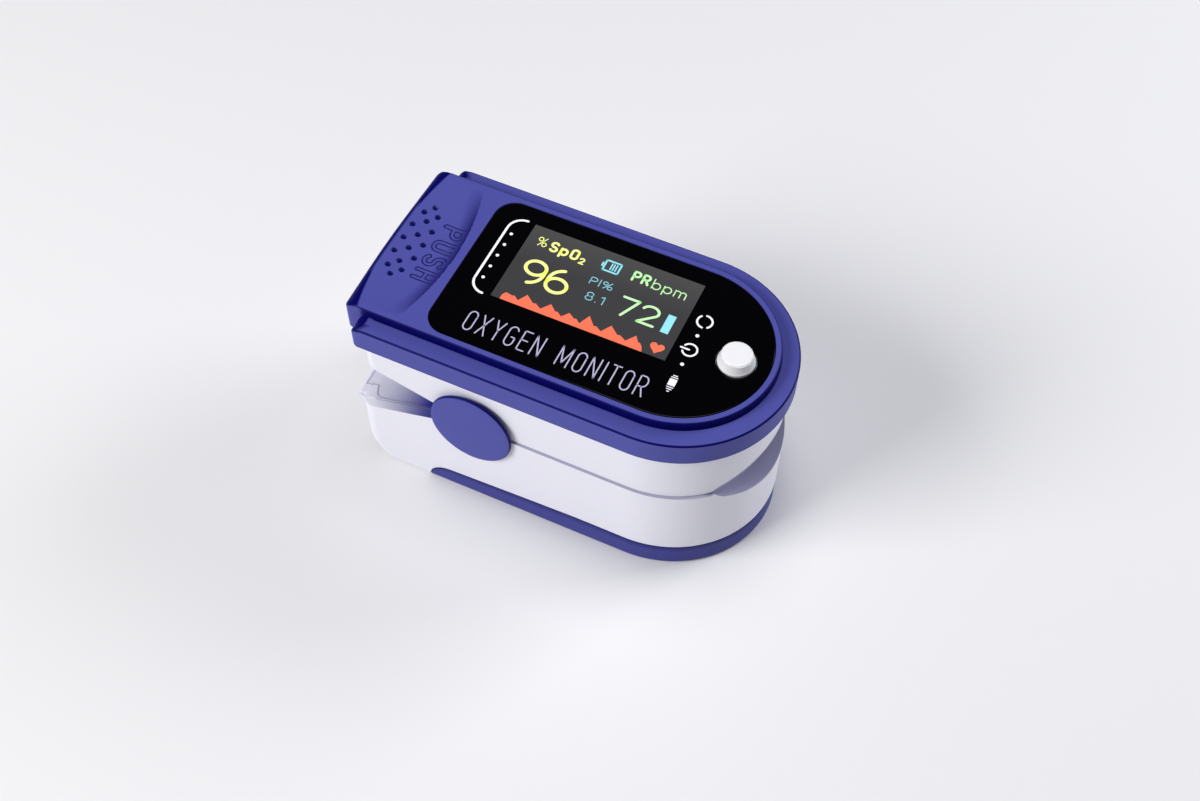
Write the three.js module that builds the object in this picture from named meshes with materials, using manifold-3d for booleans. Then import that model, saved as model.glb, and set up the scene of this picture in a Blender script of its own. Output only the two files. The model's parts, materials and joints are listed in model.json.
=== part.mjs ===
// Fingertip pulse oximeter, in millimetres.
// X runs along the finger with the finger mouth at +X, Y across, Z up from the table.
// Two clamp halves turn on one shaft; torsion springs close the finger end.
import * as THREE from "three";
import { mergeVertices } from "three/addons/utils/BufferGeometryUtils.js";
import Module from "manifold-3d";

const wasm = await Module();
wasm.setup();

// Plan view: straight sides and a rounded finger end, a semi-ellipse about END_X.
const END_X = 13.54;
const FLANGE = { half: 15.75, reach: 16.26, back: -26.7, corner: 2.2, bevel: 0.5, wall: 1.4 };
const PLATEAU = { half: 13.2, reach: 13.71, back: -28.7, corner: 0.8, bulge: 0.6, bevel: 0.7 };
const GLASS = { half: 12.24, reach: 12.75, back: -17.6, corner: 3.0, bevel: 0.12, ledge: 1.3 };
const MAIN_BOARD = { half: 12.6, reach: 12.9, back: -20.0, corner: 1.0 };
const UPPER_BAND = { half: 14.85, reach: 15.36, back: -25.9, corner: 1.8 };
const LOWER_BAND = { half: 15.15, reach: 15.9, back: -27.8, corner: 2.4, bevel: 0.5, tail: 4.5 };
const WALL = 1.3;
const INNER_CORNER = 0.8;
const TAB_SINK = 0.6;

// Cutting tools reach this far past the body along X, across Y and up or down.
const PAST_X = 40;
const PAST_Y = 20;
const PAST_Z = 1;

// Heights.
const TOP_Z = 32.0;
const FLANGE_TOP_Z = 30.6;
const FLANGE_BOTTOM_Z = 26.6;
const COVER_ROOF_Z = 29.4;
const GLASS_THICKNESS = 1.0;
const LEDGE_Z = 30.6;
const GASKET = { inset: 0.25, z0: 30.65, z1: 30.95 };
const PARTING_Z = 17.2;
const PARTING_GAP = 0.1;
const JOIN_GAP = 0.1;
const FLOOR = 1.2;

// Hinge: shaft along Y, and the V-shaped gap behind it that lets the halves be squeezed.
const PIVOT = { x: -9.5, z: PARTING_Z };
const UPPER_SLOPE = Math.tan(THREE.MathUtils.degToRad(15.3));
const LOWER_SLOPE = Math.tan(THREE.MathUtils.degToRad(18.0));
const SHAFT_R = 1.05;
const BORE_R = 1.16;
const LUG_R = 3.2;
const LUG_ROOT = 3.0;
const LOWER_LUG_Y = [11.9, 13.1];
const UPPER_LUG_Y = [10.4, 11.6];
const CAP = { x: -9.45, z: 17.3, rx: 6.05, rz: 6.75, y0: 15.25, y1: 15.9 };
const STUB_R = 2.0;
const STUB_CLEARANCE_R = 2.35;
const SHAFT_HALF = 13.1;
const CAP_BEVEL = 0.2;
const STUB_Y = 13.25;
const SPRING = { coilR: 1.9, wireR: 0.25, turns: 4, perTurn: 10, pitch: 0.75, y: 6.4, legY: 6.2, endY: 9.6 };

// Finger channel: two shallow arcs of one radius make a lens-shaped passage.
const CHANNEL_R = 19.2;
const UPPER_ARC_Z = 1.5;
const LOWER_ARC_Z = 32.9;
const CHANNEL_STOP_X = -2.4;
const MOUTH_X = 15.0;
const PAD = { x0: -1.3, x1: 23.8, half: 8.5, play: 0.2, skin: 0.1, thick: 1.0, upperBed: 1.1, lowerBed: 1.05 };

// Finger trays: trough, stop wall, hinge plate and rear deck; the lower deck ends in a lip.
const TRAY = { inset: 0.15, edge: 0.15, stop: 1.2, lift: 0.35, deck: 1.2, hingeX: -13.0, webX: -14.2, front: 30 };
const UPPER_TRAY = { half: 13.3, thick: 2.2, rearX: -24.4, underZ: 21.7, roofZ: 22.9, lugRootZ: 21.8 };
const LOWER_TRAY = { half: 13.6, thick: 1.9, floorZ: 12.4, topZ: 13.4, corner: 1.6, lugRootZ: 13.0, bossR: 1.4 };
const LIP = { x: -29.8, z: 9.2, wall: 1.4, half: 12.6, reach: 10, corner: 0.9, bulge: 0.6 };
const UPPER_EYE = { x0: 4.6, x1: 9.6, half: 2.1 };
const LOWER_EYE = { x0: 5.0, x1: 9.2, half: 1.7 };
const CABLE_SLOT = { x0: -12.7, x1: -11.3, half: 1.9 };

// Button and display.
const BUTTON = { x: 21.8, r: 2.5, midR: 2.38, topR: 2.1, topZ: 33.5, baseZ: 30.4, flangeR: 3.0, flangeZ: 30.85 };
const SWITCH = { half: 2.25, topZ: 29.9, wellR: 1.15, wellZ: 29.0 };
const PLUNGER = { r: 1.0, z0: 29.5, z1: 30.35 };
const BUTTON_HOLE_R = 2.75;
const DISPLAY = { x0: -13.2, x1: 15.0, y0: -6.3, y1: 10.5, z0: 29.2, z1: 30.85 };

// Thumb rest: an arc-edged scoop with dimples in a row of linked diamonds.
const SCOOP = { edgeX: -19.2, r: 38.4, floorZ: 31.15, spreadDeg: 24, pastX: -36, pastY: 16 };
const DIMPLE = { r: 0.32, depth: 0.4, x: -25.8, y: 0.6, rowPitch: 1.28, rows: 5, wide: 1.5, narrow: 1.05 };

// Two AAA cells lie side by side in the lower half.
const CELL = { r: 5.25, y: 5.4, z: 6.95, x0: -22.0, x1: 22.5, nubR: 1.9, nub: 1.0 };
const CONTACT = { wireR: 0.2, innerR: 1.5, frontR: 2.4, rearR: 2.6, turns: 3, perTurn: 10 };
const BRIDGE = { x0: -25.95, x1: -25.7, half: 8.4, z0: 4.0, z1: 10.0, postR: 1.7 };

// Battery door: its side view starts as a quarter ellipse; grooves underneath give grip.
const DOOR = { x: -13.4, rx: 3.8, rz: 3.3, topZ: 4.25, topZoneZ: 12 };
const GRIP = { x: 13, pitch: 2, width: 0.9, half: 6, depth: 0.4, count: 5 };

// Circuit board and screws.
const BOARD = { z0: 27.6, z1: 28.6 };
const UPPER_SCREWS = [[-22.0, 11.2], [-22.0, -11.2], [20.0, 10.3], [20.0, -10.3]];
const LOWER_SCREWS = [[-15.6, 12.1], [-15.6, -12.1], [17.5, 12.0], [17.5, -12.0]];
const SCREW = { headR: 1.15, shaftR: 0.65, clearR: 0.85, pilotR: 0.75, head: 1.0, chamfer: 0.3, point: 0.6 };
const SLOT = { half: 0.75, halfWidth: 0.15, depth: 0.5 };
const UPPER_BOSS = { r: 1.7, notchR: 2.1, pilotZ: 29.2, headZ: 23.15, tipZ: 28.9 };
const LOWER_BOSS = { z0: 9.5, rearZ: 14.6, frontZ: 15.8, pilotZ: 13.9, headZ: 6.15, tipZ: 13.6 };
const UPPER_TAB = { half: 1.8, inner: 1.7, outerY: 14.4, z0: 24.2 };
const LOWER_TAB = { half: 1.6, innerY: 10.8, outerY: 14.6, z0: 7.2, z1: 9.4 };

// Boxes of the small parts: x0, x1, y0, y1, z0, z1.
const BOXES = {
  display_connector: [-19.4, -17.2, -2.0, 6.0, 28.65, 29.3],
  microcontroller: [-3.5, 3.5, -3.5, 3.5, 26.35, 27.55],
  analog_chip: [-9.4, -4.9, -2.2, 2.2, 26.6, 27.55],
  crystal: [-3.2, 0.2, 5.2, 6.9, 26.7, 27.55],
  flex_connector: [-13.8, -10.4, -2.2, 2.2, 26.4, 27.55],
  emitter_window: [4.75, 9.45, -1.95, 1.95, 20.85, 21.85],
  red_led: [5.2, 6.8, -0.8, 0.8, 22.0, 22.9],
  infrared_led: [7.4, 9.0, -0.8, 0.8, 22.0, 22.9],
  emitter_board: [2.0, 12.4, -4.5, 4.5, 23.0, 23.6],
  board_header: [10.2, 11.8, -2.6, 2.6, 23.65, 27.55],
  sensor_window: [5.15, 9.05, -1.55, 1.55, 12.75, 13.5],
  photodiode: [5.6, 8.6, -1.3, 1.3, 11.78, 12.65],
  sensor_board: [2.0, 12.0, -1.5, 1.5, 11.25, 11.72],
  contact_plate: [22.75, 23.0, 2.6, 8.2, 4.0, 10.0],
};

// ---------- solids ----------

function toSolid(geometry) {
  geometry.deleteAttribute("normal");
  geometry.deleteAttribute("uv");
  const merged = mergeVertices(geometry, 1e-5);
  const index = Array.from(merged.index.array);
  const kept = [];
  for (let i = 0; i < index.length; i += 3) {
    const [a, b, c] = index.slice(i, i + 3);
    if (a !== b && b !== c && c !== a) {
      kept.push(a, b, c);
    }
  }
  const vertProperties = Float32Array.from(merged.attributes.position.array);
  const triVerts = Uint32Array.from(kept);
  return new wasm.Manifold(new wasm.Mesh({ numProp: 3, vertProperties, triVerts }));
}

function toGeometry(solid) {
  const mesh = solid.getMesh();
  const geometry = new THREE.BufferGeometry();
  geometry.setAttribute("position", new THREE.BufferAttribute(Float32Array.from(mesh.vertProperties), 3));
  geometry.setIndex(new THREE.BufferAttribute(Uint32Array.from(mesh.triVerts), 1));
  geometry.computeVertexNormals();
  return geometry;
}

function union(...solids) {
  return solids.reduce((sum, solid) => sum.add(solid));
}

function cut(solid, ...tools) {
  return tools.reduce((rest, tool) => rest.subtract(tool), solid);
}

function arc(cx, cy, rx, ry, startDeg, endDeg, steps) {
  const points = [];
  for (let i = 0; i <= steps; i += 1) {
    const angle = THREE.MathUtils.degToRad(startDeg + ((endDeg - startDeg) * i) / steps);
    points.push([cx + rx * Math.cos(angle), cy + ry * Math.sin(angle)]);
  }
  return points;
}

function shapeOf(points) {
  return new THREE.Shape(points.map(([u, v]) => new THREE.Vector2(u, v)));
}

// The plan outline shared by every layer, drawn `inset` inside the given sizes.
function planOutline({ half, reach, back, corner, bulge = 0 }, inset = 0) {
  const h = half - inset;
  const b = back + inset;
  const c = Math.max(corner - inset, 0.3);
  const points = arc(END_X, 0, reach - inset, h, -90, 90, 28);
  points.push(...arc(b + c, h - c, c, c, 90, 180, 3));
  if (bulge > 0) {
    for (const t of [0.75, 0.5, 0.25, 0, -0.25, -0.5, -0.75]) {
      points.push([b - bulge * (1 - t * t), t * (h - c)]);
    }
  }
  points.push(...arc(b + c, -h + c, c, c, 180, 270, 3));
  return shapeOf(points);
}

function prism(shape, z0, z1, bevel = 0) {
  const geometry = new THREE.ExtrudeGeometry(shape, {
    depth: z1 - z0 - 2 * bevel,
    steps: 1,
    bevelEnabled: bevel > 0,
    bevelThickness: bevel,
    bevelSize: bevel,
    bevelOffset: -bevel,
    bevelSegments: 2,
  });
  geometry.translate(0, 0, z0 + bevel);
  return toSolid(geometry);
}

// Points are (x, z); the slab runs from y0 to y1.
function slabAlongY(points, y0, y1) {
  const geometry = new THREE.ExtrudeGeometry(shapeOf(points), { depth: y1 - y0, steps: 1, bevelEnabled: false });
  geometry.rotateX(Math.PI / 2);
  geometry.translate(0, y1, 0);
  return toSolid(geometry);
}

// Points are (y, z); the slab runs from x0 to x1.
function slabAlongX(points, x0, x1) {
  const geometry = new THREE.ExtrudeGeometry(shapeOf(points), { depth: x1 - x0, steps: 1, bevelEnabled: false });
  const basis = new THREE.Matrix4().makeBasis(
    new THREE.Vector3(0, 1, 0),
    new THREE.Vector3(0, 0, 1),
    new THREE.Vector3(1, 0, 0),
  );
  geometry.applyMatrix4(basis);
  geometry.translate(x0, 0, 0);
  return toSolid(geometry);
}

function block(x0, x1, y0, y1, z0, z1) {
  const geometry = new THREE.BoxGeometry(x1 - x0, y1 - y0, z1 - z0);
  geometry.translate((x0 + x1) / 2, (y0 + y1) / 2, (z0 + z1) / 2);
  return toSolid(geometry);
}

function rodAlongX(y, z, r, x0, x1, sides = 16) {
  const geometry = new THREE.CylinderGeometry(r, r, x1 - x0, sides);
  geometry.rotateZ(Math.PI / 2);
  geometry.translate((x0 + x1) / 2, y, z);
  return toSolid(geometry);
}

function rodAlongY(x, z, r, y0, y1, sides = 20) {
  const geometry = new THREE.CylinderGeometry(r, r, y1 - y0, sides);
  geometry.translate(x, (y0 + y1) / 2, z);
  return toSolid(geometry);
}

function rodAlongZ(x, y, r, z0, z1, sides = 16) {
  const geometry = new THREE.CylinderGeometry(r, r, z1 - z0, sides);
  geometry.rotateX(Math.PI / 2);
  geometry.translate(x, y, (z0 + z1) / 2);
  return toSolid(geometry);
}

// Profile points are (radius, z), turned about a vertical line through (x, y).
function turned(points, x, y, sides = 20) {
  const geometry = new THREE.LatheGeometry(points.map(([r, z]) => new THREE.Vector2(r, z)), sides);
  geometry.rotateX(Math.PI / 2);
  geometry.translate(x, y, 0);
  return toSolid(geometry);
}

function wire(points, radius, steps, sides = 6) {
  const section = shapeOf(arc(0, 0, radius, radius, 0, 360 - 360 / sides, sides - 1));
  const path = new THREE.CatmullRomCurve3(points.map((p) => new THREE.Vector3(...p)));
  return toSolid(new THREE.ExtrudeGeometry(section, { steps, bevelEnabled: false, extrudePath: path }));
}

function bothSides(make) {
  return union(make(1), make(-1));
}

function acrossY(y0, y1, side) {
  return side > 0 ? [y0, y1] : [-y1, -y0];
}

function lowerEdgeZ(x) {
  return PIVOT.z + (x - PIVOT.x) * LOWER_SLOPE;
}

function upperEdgeZ(x) {
  return PIVOT.z - (x - PIVOT.x) * UPPER_SLOPE;
}

// ---------- upper half ----------

function makeTopCover() {
  const shell = union(
    prism(planOutline(FLANGE), FLANGE_BOTTOM_Z, FLANGE_TOP_Z, FLANGE.bevel),
    prism(planOutline(PLATEAU), FLANGE_BOTTOM_Z, TOP_Z, PLATEAU.bevel),
  );
  const hollow = prism(planOutline(FLANGE, FLANGE.wall), FLANGE_BOTTOM_Z - PAST_Z, COVER_ROOF_Z);
  const bossZ = FLANGE_BOTTOM_Z + JOIN_GAP / 2;
  const bosses = UPPER_SCREWS.map(([x, y]) => rodAlongZ(x, y, UPPER_BOSS.r, bossZ, COVER_ROOF_Z + JOIN_GAP, 12));
  const pilotZ = FLANGE_BOTTOM_Z - PAST_Z;
  const pilots = UPPER_SCREWS.map(([x, y]) => rodAlongZ(x, y, SCREW.pilotR, pilotZ, UPPER_BOSS.pilotZ, 10));
  const recess = prism(planOutline(GLASS, -GLASS.bevel), LEDGE_Z, TOP_Z + PAST_Z);
  const opening = prism(planOutline(GLASS, GLASS.ledge), COVER_ROOF_Z - PAST_Z, TOP_Z);
  const { r, spreadDeg, pastX, pastY } = SCOOP;
  const scoopArc = arc(SCOOP.edgeX - r, 0, r, r, -spreadDeg, spreadDeg, 16);
  scoopArc.push([pastX, pastY], [pastX, -pastY]);
  const scoop = prism(shapeOf(scoopArc), SCOOP.floorZ, TOP_Z + PAST_Z);
  const hollowed = union(cut(shell, hollow), ...bosses);
  return cut(hollowed, recess, opening, scoop, ...pilots, ...makeDimples());
}

// Odd rows have one dimple in the middle, even rows two set apart; the outer pairs sit closer.
function makeDimples() {
  const dimples = [];
  for (let row = -DIMPLE.rows; row <= DIMPLE.rows; row += 1) {
    const apart = Math.abs(row) < DIMPLE.rows - 1 ? DIMPLE.wide : DIMPLE.narrow;
    const offsets = row % 2 === 0 ? [-apart, apart] : [0];
    for (const offset of offsets) {
      const y = DIMPLE.y + row * DIMPLE.rowPitch;
      const top = SCOOP.floorZ + PAST_Z;
      dimples.push(rodAlongZ(DIMPLE.x + offset, y, DIMPLE.r, SCOOP.floorZ - DIMPLE.depth, top, 6));
    }
  }
  return dimples;
}

function makeDisplayWindow() {
  const glass = prism(planOutline(GLASS), TOP_Z - GLASS_THICKNESS, TOP_Z, GLASS.bevel);
  return cut(glass, rodAlongZ(BUTTON.x, 0, BUTTON_HOLE_R, COVER_ROOF_Z, TOP_Z + PAST_Z, 28));
}

function makeDisplayGasket() {
  const ring = prism(planOutline(GLASS, GASKET.inset), GASKET.z0, GASKET.z1);
  return cut(ring, prism(planOutline(GLASS, GLASS.ledge), GASKET.z0 - PAST_Z, GASKET.z1 + PAST_Z));
}

function makeDisplayRibbon() {
  const upperRun = [[-13.35, 29.95], [-14.6, 29.95], [-15.9, 29.1], [-17.0, 29.1]];
  const lowerRun = [[-17.0, 28.95], [-15.8, 28.95], [-14.5, 29.8], [-13.35, 29.8]];
  return slabAlongY([...upperRun, ...lowerRun], -1.5, 5.5);
}

function makeMainBoard() {
  const [z0, z1] = [BOARD.z0 - PAST_Z, BOARD.z1 + PAST_Z];
  const notches = UPPER_SCREWS.map(([x, y]) => rodAlongZ(x, y, UPPER_BOSS.notchR, z0, z1, 12));
  return cut(prism(planOutline(MAIN_BOARD), BOARD.z0, BOARD.z1), ...notches);
}

function makeTactSwitch() {
  const { half, topZ, wellR, wellZ } = SWITCH;
  const body = block(BUTTON.x - half, BUTTON.x + half, -half, half, BOARD.z1 + JOIN_GAP / 2, topZ);
  return cut(body, rodAlongZ(BUTTON.x, 0, wellR, wellZ, topZ + PAST_Z));
}

function makePowerButton() {
  const profile = [
    [0, BUTTON.baseZ],
    [BUTTON.flangeR, BUTTON.baseZ],
    [BUTTON.flangeR, BUTTON.flangeZ],
    [BUTTON.r, BUTTON.flangeZ],
    [BUTTON.r, BUTTON.topZ - 0.6],
    [BUTTON.midR, BUTTON.topZ - 0.2],
    [BUTTON.topR, BUTTON.topZ],
    [0, BUTTON.topZ],
  ];
  return turned(profile, BUTTON.x, 0, 28);
}

function makeUpperHousing() {
  const bottom = PARTING_Z + PARTING_GAP;
  const top = FLANGE_BOTTOM_Z - JOIN_GAP;
  const band = prism(planOutline(UPPER_BAND), bottom, top);
  const wall = cut(band, prism(planOutline(UPPER_BAND, WALL), bottom - PAST_Z, top + PAST_Z));
  const { half, inner, outerY, z0 } = UPPER_TAB;
  const tabs = UPPER_SCREWS.map(([x, y]) => {
    const [y0, y1] = acrossY(Math.abs(y) - inner, outerY, y);
    return block(x - half, x + half, y0, y1, z0, top);
  });
  const tabZone = prism(planOutline(UPPER_BAND, TAB_SINK), z0 - PAST_Z, top + PAST_Z);
  const tabsInside = union(...tabs).intersect(tabZone);
  const holes = UPPER_SCREWS.map(([x, y]) => rodAlongZ(x, y, SCREW.clearR, z0 - PAST_Z, top + PAST_Z, 10));
  const wedge = [[PIVOT.x, PIVOT.z], [-PAST_X, upperEdgeZ(-PAST_X)], [-PAST_X, 0], [PIVOT.x, 0]];
  const gap = slabAlongY(wedge, -PAST_Y, PAST_Y);
  const mouth = rodAlongX(0, UPPER_ARC_Z, CHANNEL_R, MOUTH_X, PAST_X, 96);
  const stubHoles = rodAlongY(PIVOT.x, PIVOT.z, STUB_CLEARANCE_R, -PAST_Y, PAST_Y);
  return cut(union(wall, tabsInside), gap, mouth, stubHoles, ...holes);
}

// An arc-shaped band in the YZ plane between two radii, closed by flat sides.
function troughSection(centreZ, inner, outer, half, edgeZ, up) {
  const angleAt = (radius, y) => THREE.MathUtils.radToDeg(Math.asin(y / radius));
  const edgeHalf = Math.sqrt(inner ** 2 - (edgeZ - centreZ) ** 2);
  const sign = up ? 1 : -1;
  const outerAngle = angleAt(outer, half);
  const innerAngle = angleAt(inner, edgeHalf);
  const outerArc = arc(0, centreZ, outer, sign * outer, 90 + outerAngle, 90 - outerAngle, 14);
  const innerArc = arc(0, centreZ, inner, sign * inner, 90 - innerAngle, 90 + innerAngle, 14);
  return [[-half, edgeZ], ...outerArc, [half, edgeZ], ...innerArc];
}

// A curved layer of the trough, between two radii and two Y limits.
function padSection(centreZ, inner, outer, half, up) {
  const sign = up ? 1 : -1;
  const outerAngle = THREE.MathUtils.radToDeg(Math.asin(half / outer));
  const innerAngle = THREE.MathUtils.radToDeg(Math.asin(half / inner));
  return [
    ...arc(0, centreZ, outer, sign * outer, 90 + outerAngle, 90 - outerAngle, 12),
    ...arc(0, centreZ, inner, sign * inner, 90 - innerAngle, 90 + innerAngle, 12),
  ];
}

function makeUpperTray() {
  const { half, thick, rearX, underZ, roofZ, lugRootZ } = UPPER_TRAY;
  const { hingeX, webX } = TRAY;
  const stopX = CHANNEL_STOP_X - TRAY.stop;
  const edgeZ = PARTING_Z + TRAY.edge;
  const section = troughSection(UPPER_ARC_Z, CHANNEL_R, CHANNEL_R + thick, half, edgeZ, true);
  const trough = slabAlongX(section, stopX, TRAY.front);
  const stop = block(stopX, CHANNEL_STOP_X, -half, half, edgeZ, roofZ);
  const deckUnder = (x) => upperEdgeZ(x) + TRAY.lift;
  const deckTop = (x) => deckUnder(x) + TRAY.deck;
  const deck = slabAlongY(
    [
      [rearX, deckUnder(rearX)],
      [hingeX, deckUnder(hingeX)],
      [hingeX, underZ],
      [stopX, underZ],
      [stopX, roofZ],
      [webX, roofZ],
      [webX, deckTop(webX)],
      [rearX, deckTop(rearX)],
    ],
    -half,
    half,
  );
  const lugs = bothSides((side) => {
    const [y0, y1] = acrossY(...UPPER_LUG_Y, side);
    return union(
      rodAlongY(PIVOT.x, PIVOT.z, LUG_R, y0, y1),
      block(PIVOT.x - LUG_ROOT, PIVOT.x + LUG_ROOT, y0, y1, PIVOT.z, lugRootZ),
    );
  });
  const insideShape = planOutline({ ...UPPER_BAND, corner: INNER_CORNER }, WALL + TRAY.inset);
  const inside = prism(insideShape, PARTING_Z, roofZ + PAST_Z);
  const body = union(trough, stop, deck).intersect(inside);
  const openings = trayOpenings(UPPER_ARC_Z, PAD.upperBed, UPPER_EYE, [PARTING_Z, roofZ + PAST_Z], true);
  return cut(union(body, lugs), ...openings);
}

// Cuts shared by both trays: shaft bore, pad bed, optics hole and cable slot.
function trayOpenings(centreZ, bed, eye, [z0, z1], up) {
  const bedHalf = PAD.half + PAD.play;
  const section = padSection(centreZ, CHANNEL_R - PAST_Z, CHANNEL_R + bed, bedHalf, up);
  return [
    rodAlongY(PIVOT.x, PIVOT.z, BORE_R, -PAST_Y, PAST_Y, 24),
    slabAlongX(section, PAD.x0 - PAD.play, PAD.x1 + PAD.play),
    block(eye.x0, eye.x1, -eye.half, eye.half, z0, z1),
    block(CABLE_SLOT.x0, CABLE_SLOT.x1, -CABLE_SLOT.half, CABLE_SLOT.half, z0, z1),
  ];
}

function makePad(centreZ, up) {
  const section = padSection(centreZ, CHANNEL_R + PAD.skin, CHANNEL_R + PAD.thick, PAD.half, up);
  const pad = slabAlongX(section, PAD.x0, PAD.x1);
  const { x0, x1, half } = UPPER_EYE;
  return cut(pad, block(x0, x1, -half, half, 0, TOP_Z));
}

// ---------- lower half ----------

function lowerSideProfile() {
  const { back, tail } = LOWER_BAND;
  return [
    [PAST_X, PARTING_Z - PARTING_GAP],
    [PIVOT.x, PARTING_Z - PARTING_GAP],
    [back, lowerEdgeZ(back) - PARTING_GAP],
    ...arc(back + tail, tail, tail, tail, 180, 270, 6),
    [PAST_X, 0],
  ];
}

function doorSideProfile(grow) {
  return [
    ...arc(DOOR.x, 0, DOOR.rx + grow, DOOR.rz + grow, 180, 98, 7),
    [-3.0, 3.85 + grow],
    [6.0, DOOR.topZ + grow],
    [PAST_X, DOOR.topZ + grow],
    [PAST_X, -PAST_Z],
    [DOOR.x - DOOR.rx - grow, -PAST_Z],
  ];
}

function deckTopZ(x) {
  return lowerEdgeZ(x) + TRAY.lift;
}

function deckUnderZ(x) {
  return deckTopZ(x) - TRAY.deck;
}

function makeLowerHousing() {
  const { back, tail, bevel } = LOWER_BAND;
  const side = slabAlongY(lowerSideProfile(), -PAST_Y, PAST_Y);
  const outer = prism(planOutline(LOWER_BAND), 0, TOP_Z, bevel).intersect(side);
  const innerTail = tail - WALL;
  const innerX = back + WALL;
  const innerArc = arc(innerX + innerTail, FLOOR + innerTail, innerTail, innerTail, 180, 270, 6);
  const innerProfile = [[PAST_X, TOP_Z], [innerX, TOP_Z], ...innerArc, [PAST_X, FLOOR]];
  const inner = prism(planOutline({ ...LOWER_BAND, corner: INNER_CORNER }, WALL), 0, TOP_Z)
    .intersect(slabAlongY(innerProfile, -PAST_Y, PAST_Y));
  const { half, innerY, outerY, z0, z1 } = LOWER_TAB;
  const tabs = LOWER_SCREWS.map(([x, y]) => {
    const [y0, y1] = acrossY(innerY, outerY, y);
    return block(x - half, x + half, y0, y1, z0, z1);
  });
  const tabZone = prism(planOutline(LOWER_BAND, TAB_SINK), z0 - PAST_Z, z1 + PAST_Z);
  const tabsInside = union(...tabs).intersect(tabZone);
  const holes = LOWER_SCREWS.map(([x, y]) => rodAlongZ(x, y, SCREW.clearR, z0 - PAST_Z, z1 + PAST_Z, 10));
  const door = slabAlongY(doorSideProfile(PARTING_GAP), -PAST_Y, PAST_Y);
  const seatZ = (x) => deckUnderZ(x) - JOIN_GAP;
  const seatHalf = LIP.half + TRAY.inset;
  const { hingeX } = TRAY;
  const seat = [[hingeX, TOP_Z], [-PAST_X, TOP_Z], [-PAST_X, seatZ(-PAST_X)], [hingeX, seatZ(hingeX)]];
  const deckSeat = slabAlongY(seat, -seatHalf, seatHalf);
  const mouth = rodAlongX(0, LOWER_ARC_Z, CHANNEL_R, MOUTH_X, PAST_X, 96);
  const stubHoles = rodAlongY(PIVOT.x, PIVOT.z, STUB_CLEARANCE_R, -PAST_Y, PAST_Y);
  return cut(union(cut(outer, inner), tabsInside), door, deckSeat, mouth, stubHoles, ...holes);
}

function makeLowerTray() {
  const { half, thick, floorZ, topZ, corner, lugRootZ, bossR } = LOWER_TRAY;
  const { hingeX, webX } = TRAY;
  const stopX = CHANNEL_STOP_X - TRAY.stop;
  const edgeZ = PARTING_Z - TRAY.edge;
  const section = troughSection(LOWER_ARC_Z, CHANNEL_R, CHANNEL_R + thick, half, edgeZ, false);
  const trough = slabAlongX(section, stopX, TRAY.front);
  const lipInnerX = LIP.x + LIP.wall;
  const deck = slabAlongY(
    [
      [hingeX, deckTopZ(hingeX)],
      [LIP.x, deckTopZ(LIP.x)],
      [LIP.x, LIP.z],
      [lipInnerX, LIP.z],
      [lipInnerX, deckUnderZ(lipInnerX)],
      [webX, deckUnderZ(webX)],
      [webX, floorZ],
      [CHANNEL_STOP_X, floorZ],
      [CHANNEL_STOP_X, edgeZ],
      [stopX, edgeZ],
      [stopX, topZ],
      [hingeX, topZ],
    ],
    -half,
    half,
  );
  const insideShape = planOutline({ ...LOWER_BAND, corner }, WALL + TRAY.inset);
  const inside = prism(insideShape, 0, TOP_Z);
  const lipShape = planOutline({ ...LIP, back: LIP.x + LIP.bulge });
  const lip = prism(lipShape, 0, TOP_Z).intersect(block(-PAST_X, hingeX, -PAST_Y, PAST_Y, 0, TOP_Z));
  const { z0, rearZ, frontZ, pilotZ } = LOWER_BOSS;
  const bosses = LOWER_SCREWS.map(([x, y]) => rodAlongZ(x, y, bossR, z0, x < 0 ? rearZ : frontZ, 12));
  const pilots = LOWER_SCREWS.map(([x, y]) => rodAlongZ(x, y, SCREW.pilotR, z0 - PAST_Z, pilotZ, 10));
  const lugs = bothSides((side) => {
    const [y0, y1] = acrossY(...LOWER_LUG_Y, side);
    return union(
      rodAlongY(PIVOT.x, PIVOT.z, LUG_R, y0, y1),
      block(PIVOT.x - LUG_ROOT, PIVOT.x + LUG_ROOT, y0, y1, lugRootZ, PIVOT.z),
    );
  });
  const body = union(trough, deck, ...bosses).intersect(union(inside, lip));
  const openings = trayOpenings(LOWER_ARC_Z, PAD.lowerBed, LOWER_EYE, [z0, PARTING_Z], false);
  return cut(union(body, lugs), ...openings, ...pilots);
}

function makeBatteryDoor() {
  const side = slabAlongY(doorSideProfile(0), -PAST_Y, PAST_Y);
  const outer = prism(planOutline(LOWER_BAND), 0, DOOR.topZoneZ, LOWER_BAND.bevel).intersect(side);
  const inner = prism(planOutline({ ...LOWER_BAND, back: -PAST_X }, WALL), FLOOR, DOOR.topZoneZ + PAST_Z);
  const grips = [];
  for (let i = 0; i < GRIP.count; i += 1) {
    const x = GRIP.x + i * GRIP.pitch;
    grips.push(block(x, x + GRIP.width, -GRIP.half, GRIP.half, -PAST_Z, GRIP.depth));
  }
  return cut(outer, inner, ...grips);
}

function makeCell(side, nubAtFront) {
  const x0 = nubAtFront ? CELL.x0 : CELL.x0 + CELL.nub;
  const x1 = nubAtFront ? CELL.x1 - CELL.nub : CELL.x1;
  const can = rodAlongX(side * CELL.y, CELL.z, CELL.r, x0, x1, 28);
  const nub = rodAlongX(side * CELL.y, CELL.z, CELL.nubR, CELL.x0, CELL.x1, 14);
  const [from, to] = nubAtFront ? [0, PAST_X] : [-PAST_X, 0];
  const nubSide = block(from, to, -PAST_Y, PAST_Y, 0, TOP_Z);
  return union(can, nub.intersect(nubSide));
}

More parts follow.
